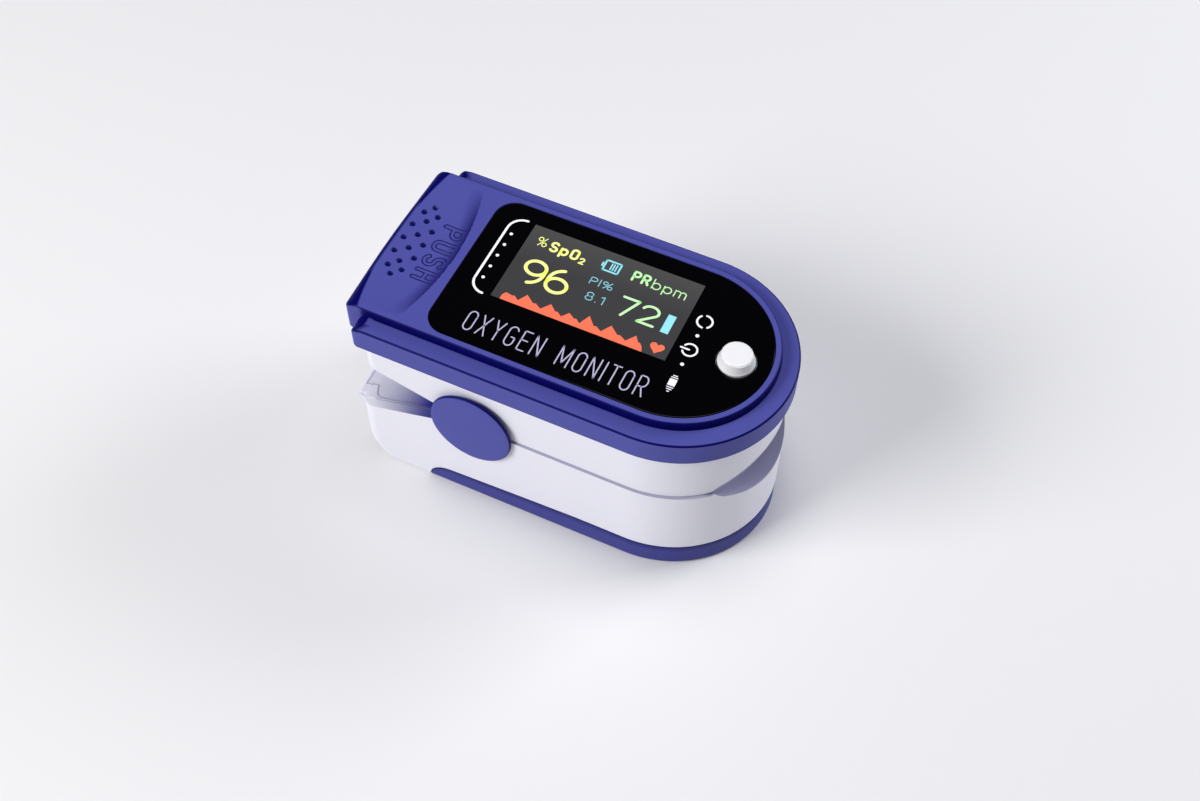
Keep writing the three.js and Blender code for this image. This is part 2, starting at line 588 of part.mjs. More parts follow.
// A spring wire that winds along X from x0 to x1, its radius growing from the cell outwards.
function contactSpring(y, x0, x1, outerR) {
  const points = [];
  const { wireR, innerR, turns, perTurn } = CONTACT;
  const count = turns * perTurn;
  for (let i = 0; i <= count; i += 1) {
    const t = i / count;
    const r = innerR + (outerR - innerR) * t;
    const angle = t * turns * 2 * Math.PI;
    points.push([x0 + (x1 - x0) * t, y + r * Math.cos(angle), CELL.z + r * Math.sin(angle)]);
  }
  return wire(points, wireR, count);
}

function makeContactBridge() {
  const { x0, x1, half, z0, z1, postR } = BRIDGE;
  const plate = block(x0, x1, -half, half, z0, z1);
  return union(plate, rodAlongX(-CELL.y, CELL.z, postR, (x0 + x1) / 2, CELL.x0 - 0.25, 12));
}

// Coil about the shaft, one leg pressing down on the lower tray, one up on the upper tray.
function makeTorsionSpring(side) {
  const { coilR, wireR, turns, perTurn, pitch, y, legY, endY } = SPRING;
  const points = [[-4.6, side * legY, 14.2], [-6.4, side * legY, 14.9]];
  const start = -Math.PI / 2;
  for (let i = 0; i <= turns * perTurn; i += 1) {
    const angle = start - (i / perTurn) * 2 * Math.PI;
    const along = side * (y + (i / perTurn) * pitch);
    points.push([PIVOT.x + coilR * Math.cos(angle), along, PIVOT.z + coilR * Math.sin(angle)]);
  }
  const last = side * endY;
  const legX = PIVOT.x - coilR;
  points.push([legX, last, PIVOT.z + 0.8], [legX, last, 20.0], [legX + 0.3, last, 21.2]);
  return wire(points, wireR, 50, 5);
}

function makeHingeCap(side) {
  const shape = shapeOf(arc(0, 0, CAP.rx, CAP.rz, 0, 350, 35));
  const depth = CAP.y1 - CAP.y0;
  const geometry = new THREE.ExtrudeGeometry(shape, {
    depth: depth - 2 * CAP_BEVEL,
    steps: 1,
    bevelEnabled: true,
    bevelThickness: CAP_BEVEL,
    bevelSize: CAP_BEVEL,
    bevelOffset: -CAP_BEVEL,
    bevelSegments: 1,
  });
  geometry.rotateX(Math.PI / 2);
  const middle = side * ((CAP.y0 + CAP.y1) / 2);
  geometry.translate(CAP.x, middle + depth / 2 - CAP_BEVEL, CAP.z);
  const [y0, y1] = acrossY(STUB_Y, CAP.y0 + CAP_BEVEL, side);
  return union(toSolid(geometry), rodAlongY(PIVOT.x, PIVOT.z, STUB_R, y0, y1));
}

function makeScrew([x, y], headZ, tipZ) {
  const neck = headZ + SCREW.head;
  const profile = [
    [0, headZ],
    [SCREW.headR - SCREW.chamfer, headZ],
    [SCREW.headR, headZ + SCREW.chamfer],
    [SCREW.headR, neck],
    [SCREW.shaftR, neck],
    [SCREW.shaftR, tipZ - SCREW.point],
    [0, tipZ],
  ];
  const screw = turned(profile, x, y, 12);
  const { half, halfWidth, depth } = SLOT;
  const [z0, z1] = [headZ - PAST_Z, headZ + depth];
  const slotA = block(x - half, x + half, y - halfWidth, y + halfWidth, z0, z1);
  const slotB = block(x - halfWidth, x + halfWidth, y - half, y + half, z0, z1);
  return cut(screw, slotA, slotB);
}

// Thin ribbon from the sensor board, past the shaft, up to the main board.
function makeFlexCable() {
  const points = [
    [1.8, 11.45],
    [-11.5, 11.45],
    [-12.1, 12.0],
    [-12.1, 26.3],
    [-11.9, 26.3],
    [-11.9, 12.1],
    [-11.4, 11.65],
    [1.8, 11.65],
  ];
  return slabAlongY(points, -1.3, 1.3);
}

// ---------- materials ----------

function plastic(color, roughness) {
  return new THREE.MeshStandardMaterial({ color, roughness, metalness: 0 });
}

function metal(color, roughness) {
  return new THREE.MeshStandardMaterial({ color, roughness, metalness: 1 });
}

const BLUE = 0x3d40a8;
const WHITE = 0xf2f2f6;
const BOARD_GREEN = 0x1f6b3a;
const BLACK = 0x050506;
const STEEL = 0xb9bcc2;
const SILICONE = 0xc9c9dc;
const CHIP = 0x1b1b1d;
const PANEL = 0x3a3a3b;
const AMBER = 0xb5761f;
const IVORY = 0xd9d2c0;
const CLEAR = 0xe8eef2;
const RED = 0xd02020;
const VIOLET = 0x402040;
const DARK_RED = 0x30181c;
const KEYCAP = 0xfafafa;
const BROWN = 0x8a5a20;
const CAN = 0x9a9ca0;

// ---------- the assembly ----------

const oximeter = new THREE.Group();
const lowerHalf = new THREE.Group();
const upperHalf = new THREE.Group();
const button = new THREE.Group();
const door = new THREE.Group();
oximeter.add(lowerHalf, upperHalf, button, door);

function place(group, name, solid, material) {
  const mesh = new THREE.Mesh(toGeometry(solid), material);
  mesh.name = name;
  group.add(mesh);
}

function placeBox(group, name, material) {
  place(group, name, block(...BOXES[name]), material);
}

place(upperHalf, "top_cover", makeTopCover(), plastic(BLUE, 0.45));
place(upperHalf, "display_window", makeDisplayWindow(), plastic(BLACK, 0.08));
place(upperHalf, "display_gasket", makeDisplayGasket(), plastic(CHIP, 0.9));
place(upperHalf, "display_module", block(...Object.values(DISPLAY)), plastic(PANEL, 0.2));
place(upperHalf, "display_ribbon", makeDisplayRibbon(), plastic(AMBER, 0.5));
placeBox(upperHalf, "display_connector", plastic(IVORY, 0.6));
place(upperHalf, "main_board", makeMainBoard(), plastic(BOARD_GREEN, 0.5));
placeBox(upperHalf, "microcontroller", plastic(CHIP, 0.6));
placeBox(upperHalf, "analog_chip", plastic(CHIP, 0.6));
placeBox(upperHalf, "crystal", metal(STEEL, 0.3));
placeBox(upperHalf, "flex_connector", plastic(IVORY, 0.6));
place(upperHalf, "tact_switch", makeTactSwitch(), plastic(CHIP, 0.5));
place(upperHalf, "upper_housing", makeUpperHousing(), plastic(WHITE, 0.4));
place(upperHalf, "upper_finger_tray", makeUpperTray(), plastic(WHITE, 0.5));
place(upperHalf, "upper_finger_pad", makePad(UPPER_ARC_Z, true), plastic(SILICONE, 0.8));
placeBox(upperHalf, "emitter_window", plastic(CLEAR, 0.05));
placeBox(upperHalf, "red_led", plastic(RED, 0.2));
placeBox(upperHalf, "infrared_led", plastic(VIOLET, 0.2));
placeBox(upperHalf, "emitter_board", plastic(BOARD_GREEN, 0.5));
placeBox(upperHalf, "board_header", plastic(CHIP, 0.6));
UPPER_SCREWS.forEach((at, i) => {
  place(upperHalf, `upper_screw_${i + 1}`, makeScrew(at, UPPER_BOSS.headZ, UPPER_BOSS.tipZ), metal(STEEL, 0.35));
});

place(button, "power_button", makePowerButton(), plastic(KEYCAP, 0.35));
place(button, "switch_plunger", rodAlongZ(BUTTON.x, 0, PLUNGER.r, PLUNGER.z0, PLUNGER.z1), plastic(BROWN, 0.5));

place(lowerHalf, "lower_housing", makeLowerHousing(), plastic(WHITE, 0.4));
place(lowerHalf, "lower_finger_tray", makeLowerTray(), plastic(WHITE, 0.5));
place(lowerHalf, "lower_finger_pad", makePad(LOWER_ARC_Z, false), plastic(SILICONE, 0.8));
placeBox(lowerHalf, "sensor_window", plastic(CLEAR, 0.05));
placeBox(lowerHalf, "photodiode", plastic(DARK_RED, 0.2));
placeBox(lowerHalf, "sensor_board", plastic(BOARD_GREEN, 0.5));
place(lowerHalf, "flex_cable", makeFlexCable(), plastic(AMBER, 0.5));
place(lowerHalf, "battery_left", makeCell(1, true), metal(CAN, 0.35));
place(lowerHalf, "battery_right", makeCell(-1, false), metal(CAN, 0.35));
placeBox(lowerHalf, "contact_plate", metal(STEEL, 0.3));
const frontSpring = contactSpring(-CELL.y, CELL.x1 + 0.4, 24.9, CONTACT.frontR);
place(lowerHalf, "contact_spring_front", frontSpring, metal(STEEL, 0.3));
const rearSpring = contactSpring(CELL.y, CELL.x0 - 0.4, -25.3, CONTACT.rearR);
place(lowerHalf, "contact_spring_rear", rearSpring, metal(STEEL, 0.3));
place(lowerHalf, "contact_bridge", makeContactBridge(), metal(STEEL, 0.3));
LOWER_SCREWS.forEach((at, i) => {
  place(lowerHalf, `lower_screw_${i + 1}`, makeScrew(at, LOWER_BOSS.headZ, LOWER_BOSS.tipZ), metal(STEEL, 0.35));
});
place(lowerHalf, "hinge_shaft", rodAlongY(PIVOT.x, PIVOT.z, SHAFT_R, -SHAFT_HALF, SHAFT_HALF), metal(STEEL, 0.25));
place(lowerHalf, "torsion_spring_left", makeTorsionSpring(1), metal(STEEL, 0.3));
place(lowerHalf, "torsion_spring_right", makeTorsionSpring(-1), metal(STEEL, 0.3));
place(lowerHalf, "hinge_cap_left", makeHingeCap(1), plastic(BLUE, 0.45));
place(lowerHalf, "hinge_cap_right", makeHingeCap(-1), plastic(BLUE, 0.45));

place(door, "battery_door", makeBatteryDoor(), plastic(BLUE, 0.45));

export default oximeter;
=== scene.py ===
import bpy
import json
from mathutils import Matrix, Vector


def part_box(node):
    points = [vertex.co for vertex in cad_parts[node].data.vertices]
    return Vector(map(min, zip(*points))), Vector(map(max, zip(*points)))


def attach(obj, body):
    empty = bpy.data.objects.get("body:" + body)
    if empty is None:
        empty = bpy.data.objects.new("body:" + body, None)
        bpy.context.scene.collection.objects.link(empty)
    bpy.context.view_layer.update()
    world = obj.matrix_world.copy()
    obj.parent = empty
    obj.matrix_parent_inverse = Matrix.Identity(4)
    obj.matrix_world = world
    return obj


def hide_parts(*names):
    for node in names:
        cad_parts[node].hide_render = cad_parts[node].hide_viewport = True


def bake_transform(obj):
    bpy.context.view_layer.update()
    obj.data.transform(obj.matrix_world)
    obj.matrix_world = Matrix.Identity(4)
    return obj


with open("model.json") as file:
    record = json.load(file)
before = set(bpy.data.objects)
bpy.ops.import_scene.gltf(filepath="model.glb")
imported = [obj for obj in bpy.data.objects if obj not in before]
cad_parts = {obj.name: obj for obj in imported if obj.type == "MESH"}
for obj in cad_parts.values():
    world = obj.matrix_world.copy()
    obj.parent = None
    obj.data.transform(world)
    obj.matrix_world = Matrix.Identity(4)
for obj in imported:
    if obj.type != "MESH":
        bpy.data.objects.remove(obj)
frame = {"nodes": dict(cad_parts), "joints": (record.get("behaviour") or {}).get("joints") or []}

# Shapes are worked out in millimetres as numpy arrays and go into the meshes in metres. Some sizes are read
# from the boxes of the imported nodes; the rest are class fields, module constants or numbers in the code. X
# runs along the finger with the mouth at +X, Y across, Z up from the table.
"""Fingertip pulse oximeter: fine shells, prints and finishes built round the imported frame.

Shapes are worked out in millimetres as numpy arrays and go into the meshes in metres. Every size is
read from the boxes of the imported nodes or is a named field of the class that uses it. X runs along
the finger with the mouth at +X, Y across, Z up from the table.
"""
import json
import logging
import math
from dataclasses import dataclass, field, replace
from enum import Enum
from typing import Callable, Iterable, Sequence

import bpy
import numpy as np
from mathutils import Matrix, Vector

MM = 0.001
LOG = logging.getLogger("oximeter")
# Name of the mesh attribute that carries painted shade.
PAINTED_SHADE_ATTRIBUTE = "recess"
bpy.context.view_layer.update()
Array = np.ndarray


class Body(Enum):
    """The rigid bodies that pieces ride on."""

    LOWER = "lower_half"
    UPPER = "upper_half"
    BUTTON = "power_button"
    DOOR = "battery_door"


def node_box(node: str) -> tuple[Array, Array]:
    """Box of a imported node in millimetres.

    Args:
        node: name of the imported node.

    Returns:
        Its lowest and highest corners.
    """
    low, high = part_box(node)
    return np.array(low) / MM, np.array(high) / MM


def joint_place(name: str) -> Array:
    """Place of a hinge in millimetres.

    Args:
        name: the joint's name.

    Returns:
        A point on its axis.
    """
    found = next(j for j in frame["joints"] if j["name"] == name)
    return np.array(found["pos_m"]) / MM


PIVOT = joint_place("clamp_hinge")
END_X = 13.54
UPPER_SLOPE = math.tan(math.radians(15.3))
LOWER_SLOPE = math.tan(math.radians(18.0))
CHANNEL_R = 19.2
UPPER_ARC_Z = 1.5
LOWER_ARC_Z = 32.9
MOUTH_X = 15.0
RIM = 0.45
DECK_LIFT = 0.35
LIFT_RUN = 6.0
MOUTH_HALF = 11.1
# The next three values set the painted shade in the rear gap; the fourth, the painted shade along the parting
# line.
GAP_OPEN_X = -27.5
GAP_RUN = 11.5
GAP_PAINTED_SHADE_MAX = 0.97
PARTING_PAINTED_SHADE = 0.5
END_SHADE_MM = 0.12


# ---------------------------------------------------------------- finishes


@dataclass(frozen=True)
class Finish:
    """A moulded, plated or printed surface finish.

    Colours are linear. The base colour drifts between `color` and `drift` over `patch_mm`; the
    roughness swings by `rough_swing` over the same patches; `grain` is the height in millimetres of a
    fine bump whose features are `grain_mm` across; `recess` is a painted shade colour, laid by the
    mesh's recess attribute in grooves, in gaps, under edges and on shaded ends.
    """

    name: str
    color: tuple[float, float, float]
    drift: tuple[float, float, float] | None = None
    roughness: float = 0.4
    rough_swing: float = 0.06
    patch_mm: float = 9.0
    grain: float = 0.006
    grain_mm: float = 0.25
    metallic: float = 0.0
    coat: float = 0.0
    coat_roughness: float = 0.05
    subsurface: float = 0.0
    transmission: float = 0.0
    specular: float = 0.5
    glow: float = 0.0
    # recess: painted shade colour, mixed over the base where the recess attribute says shade falls
    recess: tuple[float, float, float] | None = None

    def build(self) -> bpy.types.Material:
        """Make the node material.

        Returns:
            The material, with its colour, roughness and bump driven by noise on Object coordinates.
        """
        known = bpy.data.materials.get(self.name)
        if known:
            return known
        material = bpy.data.materials.new(self.name)
        material.use_nodes = True
        tree = material.node_tree
        shader = tree.nodes["Principled BSDF"]
        place = tree.nodes.new("ShaderNodeTexCoord")
        patches = self._noise(tree, place, 1.0 / (self.patch_mm * MM), 3.0)
        mix = tree.nodes.new("ShaderNodeMix")
        mix.data_type = "RGBA"
        mix.inputs[6].default_value = (*self.color, 1.0)
        second = self.drift or tuple(min(1.0, c * 1.07 + 0.002) for c in self.color)
        mix.inputs[7].default_value = (*second, 1.0)
        tree.links.new(patches, mix.inputs[0])
        # Painted shade: the recess colour is mixed over the base by the recess attribute.
        base = self._mix_painted_shade(tree, mix.outputs[2]) if self.recess else mix.outputs[2]
        tree.links.new(base, shader.inputs["Base Color"])
        wear = tree.nodes.new("ShaderNodeMapRange")
        wear.inputs["To Min"].default_value = max(0.02, self.roughness - self.rough_swing)
        wear.inputs["To Max"].default_value = min(1.0, self.roughness + self.rough_swing)
        tree.links.new(patches, wear.inputs["Value"])
        tree.links.new(wear.outputs["Result"], shader.inputs["Roughness"])
        if self.grain > 0:
            fine = self._noise(tree, place, 1.0 / (self.grain_mm * MM), 2.0)
            bump = tree.nodes.new("ShaderNodeBump")
            bump.inputs["Strength"].default_value = 0.5
            bump.inputs["Distance"].default_value = self.grain * MM
            tree.links.new(fine, bump.inputs["Height"])
            tree.links.new(bump.outputs["Normal"], shader.inputs["Normal"])
        shader.inputs["Metallic"].default_value = self.metallic
        shader.inputs["Coat Weight"].default_value = self.coat
        shader.inputs["Coat Roughness"].default_value = self.coat_roughness
        shader.inputs["Subsurface Weight"].default_value = self.subsurface
        shader.inputs["Subsurface Scale"].default_value = 1.5 * MM
        shader.inputs["Transmission Weight"].default_value = self.transmission
        shader.inputs["Specular IOR Level"].default_value = self.specular
        if self.glow > 0:
            tree.links.new(mix.outputs[2], shader.inputs["Emission Color"])
            shader.inputs["Emission Strength"].default_value = self.glow
        return material

    def _mix_painted_shade(self, tree: bpy.types.NodeTree, base: bpy.types.NodeSocket) -> bpy.types.NodeSocket:
        """Mix the painted shade colour over the base by the mesh's recess attribute; return the colour socket.
        """
        layer = tree.nodes.new("ShaderNodeAttribute")
        layer.attribute_name = PAINTED_SHADE_ATTRIBUTE
        mix = tree.nodes.new("ShaderNodeMix")
        mix.data_type = "RGBA"
        mix.inputs[7].default_value = (*self.recess, 1.0)
        tree.links.new(base, mix.inputs[6])
        tree.links.new(layer.outputs["Fac"], mix.inputs[0])
        return mix.outputs[2]

    @staticmethod
    def _noise(
        tree: bpy.types.NodeTree, place: bpy.types.Node, scale: float, detail: float
    ) -> bpy.types.NodeSocket:
        """Add a noise texture on Object coordinates and return its factor socket."""
        noise = tree.nodes.new("ShaderNodeTexNoise")
        noise.inputs["Scale"].default_value = scale
        noise.inputs["Detail"].default_value = detail
        tree.links.new(place.outputs["Object"], noise.inputs["Vector"])
        return noise.outputs["Fac"]


@dataclass(frozen=True)
class PanelFinish:
    """The lit display panel: dark grey that pales towards its far edge."""

    name: str = "display_panel"
    low_y: float = -3.9
    high_y: float = 9.7
    dark: tuple[float, float, float] = (0.042, 0.042, 0.044)
    pale: tuple[float, float, float] = (0.062, 0.062, 0.060)

    def build(self) -> bpy.types.Material:
        """Make the node material.

        Returns:
            A glossy material whose colour follows a ramp across Y.
        """
        material = bpy.data.materials.new(self.name)
        material.use_nodes = True
        tree = material.node_tree
        shader = tree.nodes["Principled BSDF"]
        place = tree.nodes.new("ShaderNodeTexCoord")
        split = tree.nodes.new("ShaderNodeSeparateXYZ")
        tree.links.new(place.outputs["Object"], split.inputs[0])
        across = tree.nodes.new("ShaderNodeMapRange")
        across.inputs["From Min"].default_value = self.low_y * MM
        across.inputs["From Max"].default_value = self.high_y * MM
        tree.links.new(split.outputs["Y"], across.inputs["Value"])
        ramp = tree.nodes.new("ShaderNodeValToRGB")
        ramp.color_ramp.elements[0].color = (*self.dark, 1)
        ramp.color_ramp.elements[0].position = 0.55
        ramp.color_ramp.elements[1].color = (*self.pale, 1)
        tree.links.new(across.outputs["Result"], ramp.inputs["Fac"])
        tree.links.new(ramp.outputs["Color"], shader.inputs["Base Color"])
        tree.links.new(ramp.outputs["Color"], shader.inputs["Emission Color"])
        shader.inputs["Emission Strength"].default_value = 0.25
        shader.inputs["Roughness"].default_value = 0.12
        return material


# Painted shade colours: the first goes on the blue parts, the second on the white parts and trays, where shade
# falls.
NAVY_PAINTED_SHADE = (0.001, 0.001, 0.105)
SHADOW = (0.022, 0.021, 0.250)
BLUE = Finish(
    "indigo_abs", (0.074, 0.080, 0.350), (0.082, 0.088, 0.370), 0.42, 0.05, 14.0, 0.004, 0.16,
    specular=0.09, recess=NAVY_PAINTED_SHADE,
)
WHITE = Finish(
    "cool_white_abs", (0.82, 0.82, 0.90), (0.85, 0.85, 0.92), 0.36, 0.05, 12.0, 0.003, 0.2, subsurface=0.05,
    specular=0.3, recess=SHADOW,
)
TRAY_WHITE = Finish(
    "tray_white_abs", (0.74, 0.74, 0.85), (0.78, 0.78, 0.88), 0.50, 0.05, 10.0, 0.005, 0.2,
    specular=0.15, recess=SHADOW,
)
SILICONE = Finish(
    "grey_lavender_silicone", (0.50, 0.50, 0.66), (0.55, 0.55, 0.70), 0.62, 0.08, 5.0, 0.012, 0.35,
    subsurface=0.25,
)
GLOSS_BLACK = Finish(
    "window_black", (0.0005, 0.0005, 0.0008), (0.0008, 0.0008, 0.0012), 0.10, 0.03, 16.0, 0.0, specular=0.10
)
KEYCAP = Finish(
    "keycap_white", (0.90, 0.90, 0.93), (0.94, 0.94, 0.96), 0.30, 0.05, 4.0, 0.003, 0.15, subsurface=0.05
)
# The two inks below carry a painted glow: printed marks that emit light though they are no lamp.
GLOWING_PRINT_WHITE = Finish("ink_white_painted_glow", (0.80, 0.80, 0.84), None, 0.30, 0.03, 3.0, 0.0, glow=0.25)
GLOWING_PRINT_GREY = Finish("ink_pale_grey_painted_glow", (0.46, 0.44, 0.62), None, 0.30, 0.03, 3.0, 0.0, glow=0.12)
LIT_YELLOW = Finish("lit_yellow", (0.80, 0.84, 0.26), None, 0.30, 0.02, 3.0, 0.0, glow=0.30)
LIT_GREEN = Finish("lit_green", (0.50, 0.80, 0.42), None, 0.30, 0.02, 3.0, 0.0, glow=0.28)
LIT_CYAN = Finish("lit_cyan", (0.28, 0.70, 0.80), None, 0.30, 0.02, 3.0, 0.0, glow=0.22)
LIT_TEAL = Finish("lit_teal", (0.22, 0.52, 0.60), None, 0.30, 0.02, 3.0, 0.0, glow=0.25)
LIT_CORAL = Finish("lit_coral", (0.84, 0.16, 0.08), None, 0.30, 0.02, 3.0, 0.0, glow=0.22)
STEEL = Finish("plated_steel", (0.58, 0.59, 0.61), None, 0.28, 0.10, 2.0, 0.004, 0.12, metallic=1.0)
CELL_CAN = Finish(
    "cell_sleeve", (0.16, 0.17, 0.19), (0.20, 0.21, 0.23), 0.35, 0.06, 6.0, 0.002, 0.2, metallic=0.6
)
BOARD = Finish("solder_mask", (0.018, 0.17, 0.06), (0.03, 0.22, 0.09), 0.35, 0.10, 1.2, 0.010, 0.30)
EPOXY = Finish("chip_epoxy", (0.014, 0.014, 0.016), None, 0.55, 0.10, 1.5, 0.006, 0.12)
NYLON = Finish("cream_nylon", (0.66, 0.61, 0.50), None, 0.50, 0.08, 1.5, 0.004, 0.15)
POLYIMIDE = Finish("amber_ribbon", (0.50, 0.22, 0.035), (0.60, 0.30, 0.06), 0.32, 0.06, 1.0, 0.004, 0.12)
FOAM = Finish("gasket_foam", (0.02, 0.02, 0.02), None, 0.9, 0.05, 0.8, 0.02, 0.12)
LENS = Finish("clear_epoxy", (0.90, 0.93, 0.95), None, 0.06, 0.02, 2.0, 0.0, transmission=0.85)
RED_DIE = Finish("red_die", (0.60, 0.02, 0.02), None, 0.25, 0.05, 0.6, 0.0)
DARK_DIE = Finish("dark_die", (0.05, 0.015, 0.04), None, 0.25, 0.05, 0.6, 0.0)
BROWN_NYLON = Finish("plunger_nylon", (0.25, 0.10, 0.03), None, 0.45, 0.05, 0.8, 0.003, 0.1)


# ---------------------------------------------------------------- mesh making


class Piece:
    """Collects closed shells and turns them into one object."""

    def __init__(self, name: str) -> None:
        """Start an empty piece called `name`."""
        self.name = name
        self.points: list[Array] = []
        self.shades: list[Array] = []
        self.faces: list[Sequence[int]] = []
        self.count = 0

    def add(self, points: Array, faces: list[Sequence[int]], shade: Array | None = None) -> "Piece":
        """Add one closed shell, turned so that its faces point outwards.

        Args:
            points: (n, 3) array in millimetres.
            faces: polygons as lists of indices into `points`.
            shade: how much painted shade, the finish's recess colour, each point takes, from 0 to 1.

        Returns:
            This piece.
        """
        if signed_volume(points, faces) < 0:
            faces = [tuple(reversed(f)) for f in faces]
        shifted = [tuple(i + self.count for i in f) for f in faces]
        self.points.append(points)
        given = np.zeros(0) if shade is None else np.ravel(shade)
        self.shades.append(np.pad(given, (0, len(points) - len(given))))
        self.faces.extend(shifted)
        self.count += len(points)
        return self

    def finish(
        self, finish: Finish | PanelFinish, body: Body, slot: str, *nodes: str, sharp_deg: float = 32.0
    ) -> bpy.types.Object:
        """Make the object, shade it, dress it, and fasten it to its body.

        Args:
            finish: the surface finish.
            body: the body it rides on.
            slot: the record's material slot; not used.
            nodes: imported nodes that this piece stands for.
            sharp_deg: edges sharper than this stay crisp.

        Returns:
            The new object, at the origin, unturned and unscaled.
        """
        mesh = bpy.data.meshes.new(self.name)
        mesh.from_pydata((np.concatenate(self.points) * MM).tolist(), [], self.faces)
        shade = np.concatenate(self.shades)
        # Write the painted shade as the recess attribute.
        if shade.any():
            layer = mesh.attributes.new(PAINTED_SHADE_ATTRIBUTE, "FLOAT", "POINT")
            layer.data.foreach_set("value", np.clip(shade, 0, 1).astype(np.float32))
        mesh.validate()
        mesh.shade_smooth()
        mesh.set_sharp_from_angle(angle=math.radians(sharp_deg))
        mesh.update()
        thing = bpy.data.objects.new(self.name, mesh)
        bpy.context.scene.collection.objects.link(thing)
        mesh.materials.append(finish.build())
        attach(thing, body.value)
        if nodes:
            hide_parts(*nodes)
        LOG.info("%s: %d faces on %s", self.name, len(self.faces), body.value)
        return thing


def signed_volume(points: Array, faces: Iterable[Sequence[int]]) -> float:
    """Six times the volume inside a shell, summed over fans of triangles."""
    fan_a, fan_b, fan_c = [], [], []
    for face in faces:
        fan_a += [face[0]] * (len(face) - 2)
        fan_b += face[1:-1]
        fan_c += face[2:]
    a, b, c = points[fan_a], points[fan_b], points[fan_c]
    return float(np.einsum("ij,ij->", a, np.cross(b, c)))


def grid_faces(rows: int, columns: int, wrap_rows: bool, wrap_columns: bool) -> list[tuple[int, ...]]:
    """Quads over a grid of points stored row by row, joined end to end where asked."""
    i = np.arange(rows if wrap_rows else rows - 1)
    j = np.arange(columns if wrap_columns else columns - 1)
    i0, j0 = (a.ravel() for a in np.meshgrid(i, j, indexing="ij"))
    i1, j1 = (i0 + 1) % rows, (j0 + 1) % columns
    quads = np.stack([i0 * columns + j0, i0 * columns + j1, i1 * columns + j1, i1 * columns + j0], 1)
    return [tuple(q) for q in quads.tolist()]


def torus_shell(rings: Sequence[Array]) -> tuple[Array, list[Sequence[int]]]:
    """A closed profile carried round a closed path: ring after ring, the last joined to the first."""
    stack = np.stack(rings)
    return stack.reshape(-1, 3), grid_faces(len(rings), stack.shape[1], True, True)


def capped_shell(rings: Sequence[Array]) -> tuple[Array, list[Sequence[int]]]:
    """Ring after ring, with a fan of triangles to the middle of the first and of the last ring."""
    stack = np.stack(rings)
    count, around = stack.shape[0], stack.shape[1]
    points = np.concatenate([stack.reshape(-1, 3), stack[:1].mean(1), stack[-1:].mean(1)])
    faces: list[Sequence[int]] = list(grid_faces(count, around, False, True))
    first, last = count * around, count * around + 1
    here = np.arange(around)
    after = (here + 1) % around
    base = (count - 1) * around
    faces += [tuple(f) for f in np.stack([after, here, np.full(around, first)], 1).tolist()]
    faces += [tuple(f) for f in np.stack([base + here, base + after, np.full(around, last)], 1).tolist()]
    return points, faces


def sheet_shell(top: Array, bottom: Array) -> tuple[Array, list[Sequence[int]]]:
    """Two grids of the same shape as the two sides of a plate, joined round their border."""
    rows, columns = top.shape[:2]
    points = np.concatenate([top.reshape(-1, 3), bottom.reshape(-1, 3)])
    upper = grid_faces(rows, columns, False, False)
    size = rows * columns
    lower = [tuple(size + i for i in reversed(f)) for f in upper]
    index = np.arange(size).reshape(rows, columns)
    border = np.concatenate([index[0, :-1], index[:-1, -1], index[-1, :0:-1], index[:0:-1, 0]])
    after = np.roll(border, -1)
    walls = np.stack([after, border, border + size, after + size], 1)
    return points, upper + lower + [tuple(f) for f in walls.tolist()]


def flat_shell(outline: Array, z0: float, z1: float) -> tuple[Array, list[Sequence[int]]]:
    """A flat outline given a thickness between two heights."""
    count = len(outline)
    low = np.column_stack([outline, np.full(count, z0)])
    high = np.column_stack([outline, np.full(count, z1)])
    here = np.arange(count)
    after = (here + 1) % count
    walls = [tuple(f) for f in np.stack([here, after, after + count, here + count], 1).tolist()]
    faces = [tuple(range(count - 1, -1, -1)), tuple(range(count, 2 * count)), *walls]
    return np.concatenate([low, high]), faces


def arc(cx: float, cy: float, rx: float, ry: float, start: float, end: float, count: int) -> Array:
    """Points on an ellipse's arc between two angles in degrees."""
    angle = np.radians(np.linspace(start, end, count))
    return np.column_stack([cx + rx * np.cos(angle), cy + ry * np.sin(angle)])


def at_height(outline: Array, z: float | Array) -> Array:
    """An outline's points lifted to one height, or to a height each."""
    return np.column_stack([outline, np.broadcast_to(z, len(outline))])


def smooth_step(value: Array) -> Array:
    """Rises from 0 to 1 with level ends, for values from 0 to 1."""
    t = np.clip(value, 0.0, 1.0)
    return t * t * (3.0 - 2.0 * t)


@dataclass(frozen=True)
class Sampling:
    """How finely an outline is cut: where along the sides and the back its points lie."""

    front: int = 97
    sides: tuple[float, ...] = tuple(np.linspace(0, 1, 41)[1:-1])
    corner: int = 9
    back: tuple[float, ...] = tuple(np.linspace(-1, 1, 41)[1:-1])


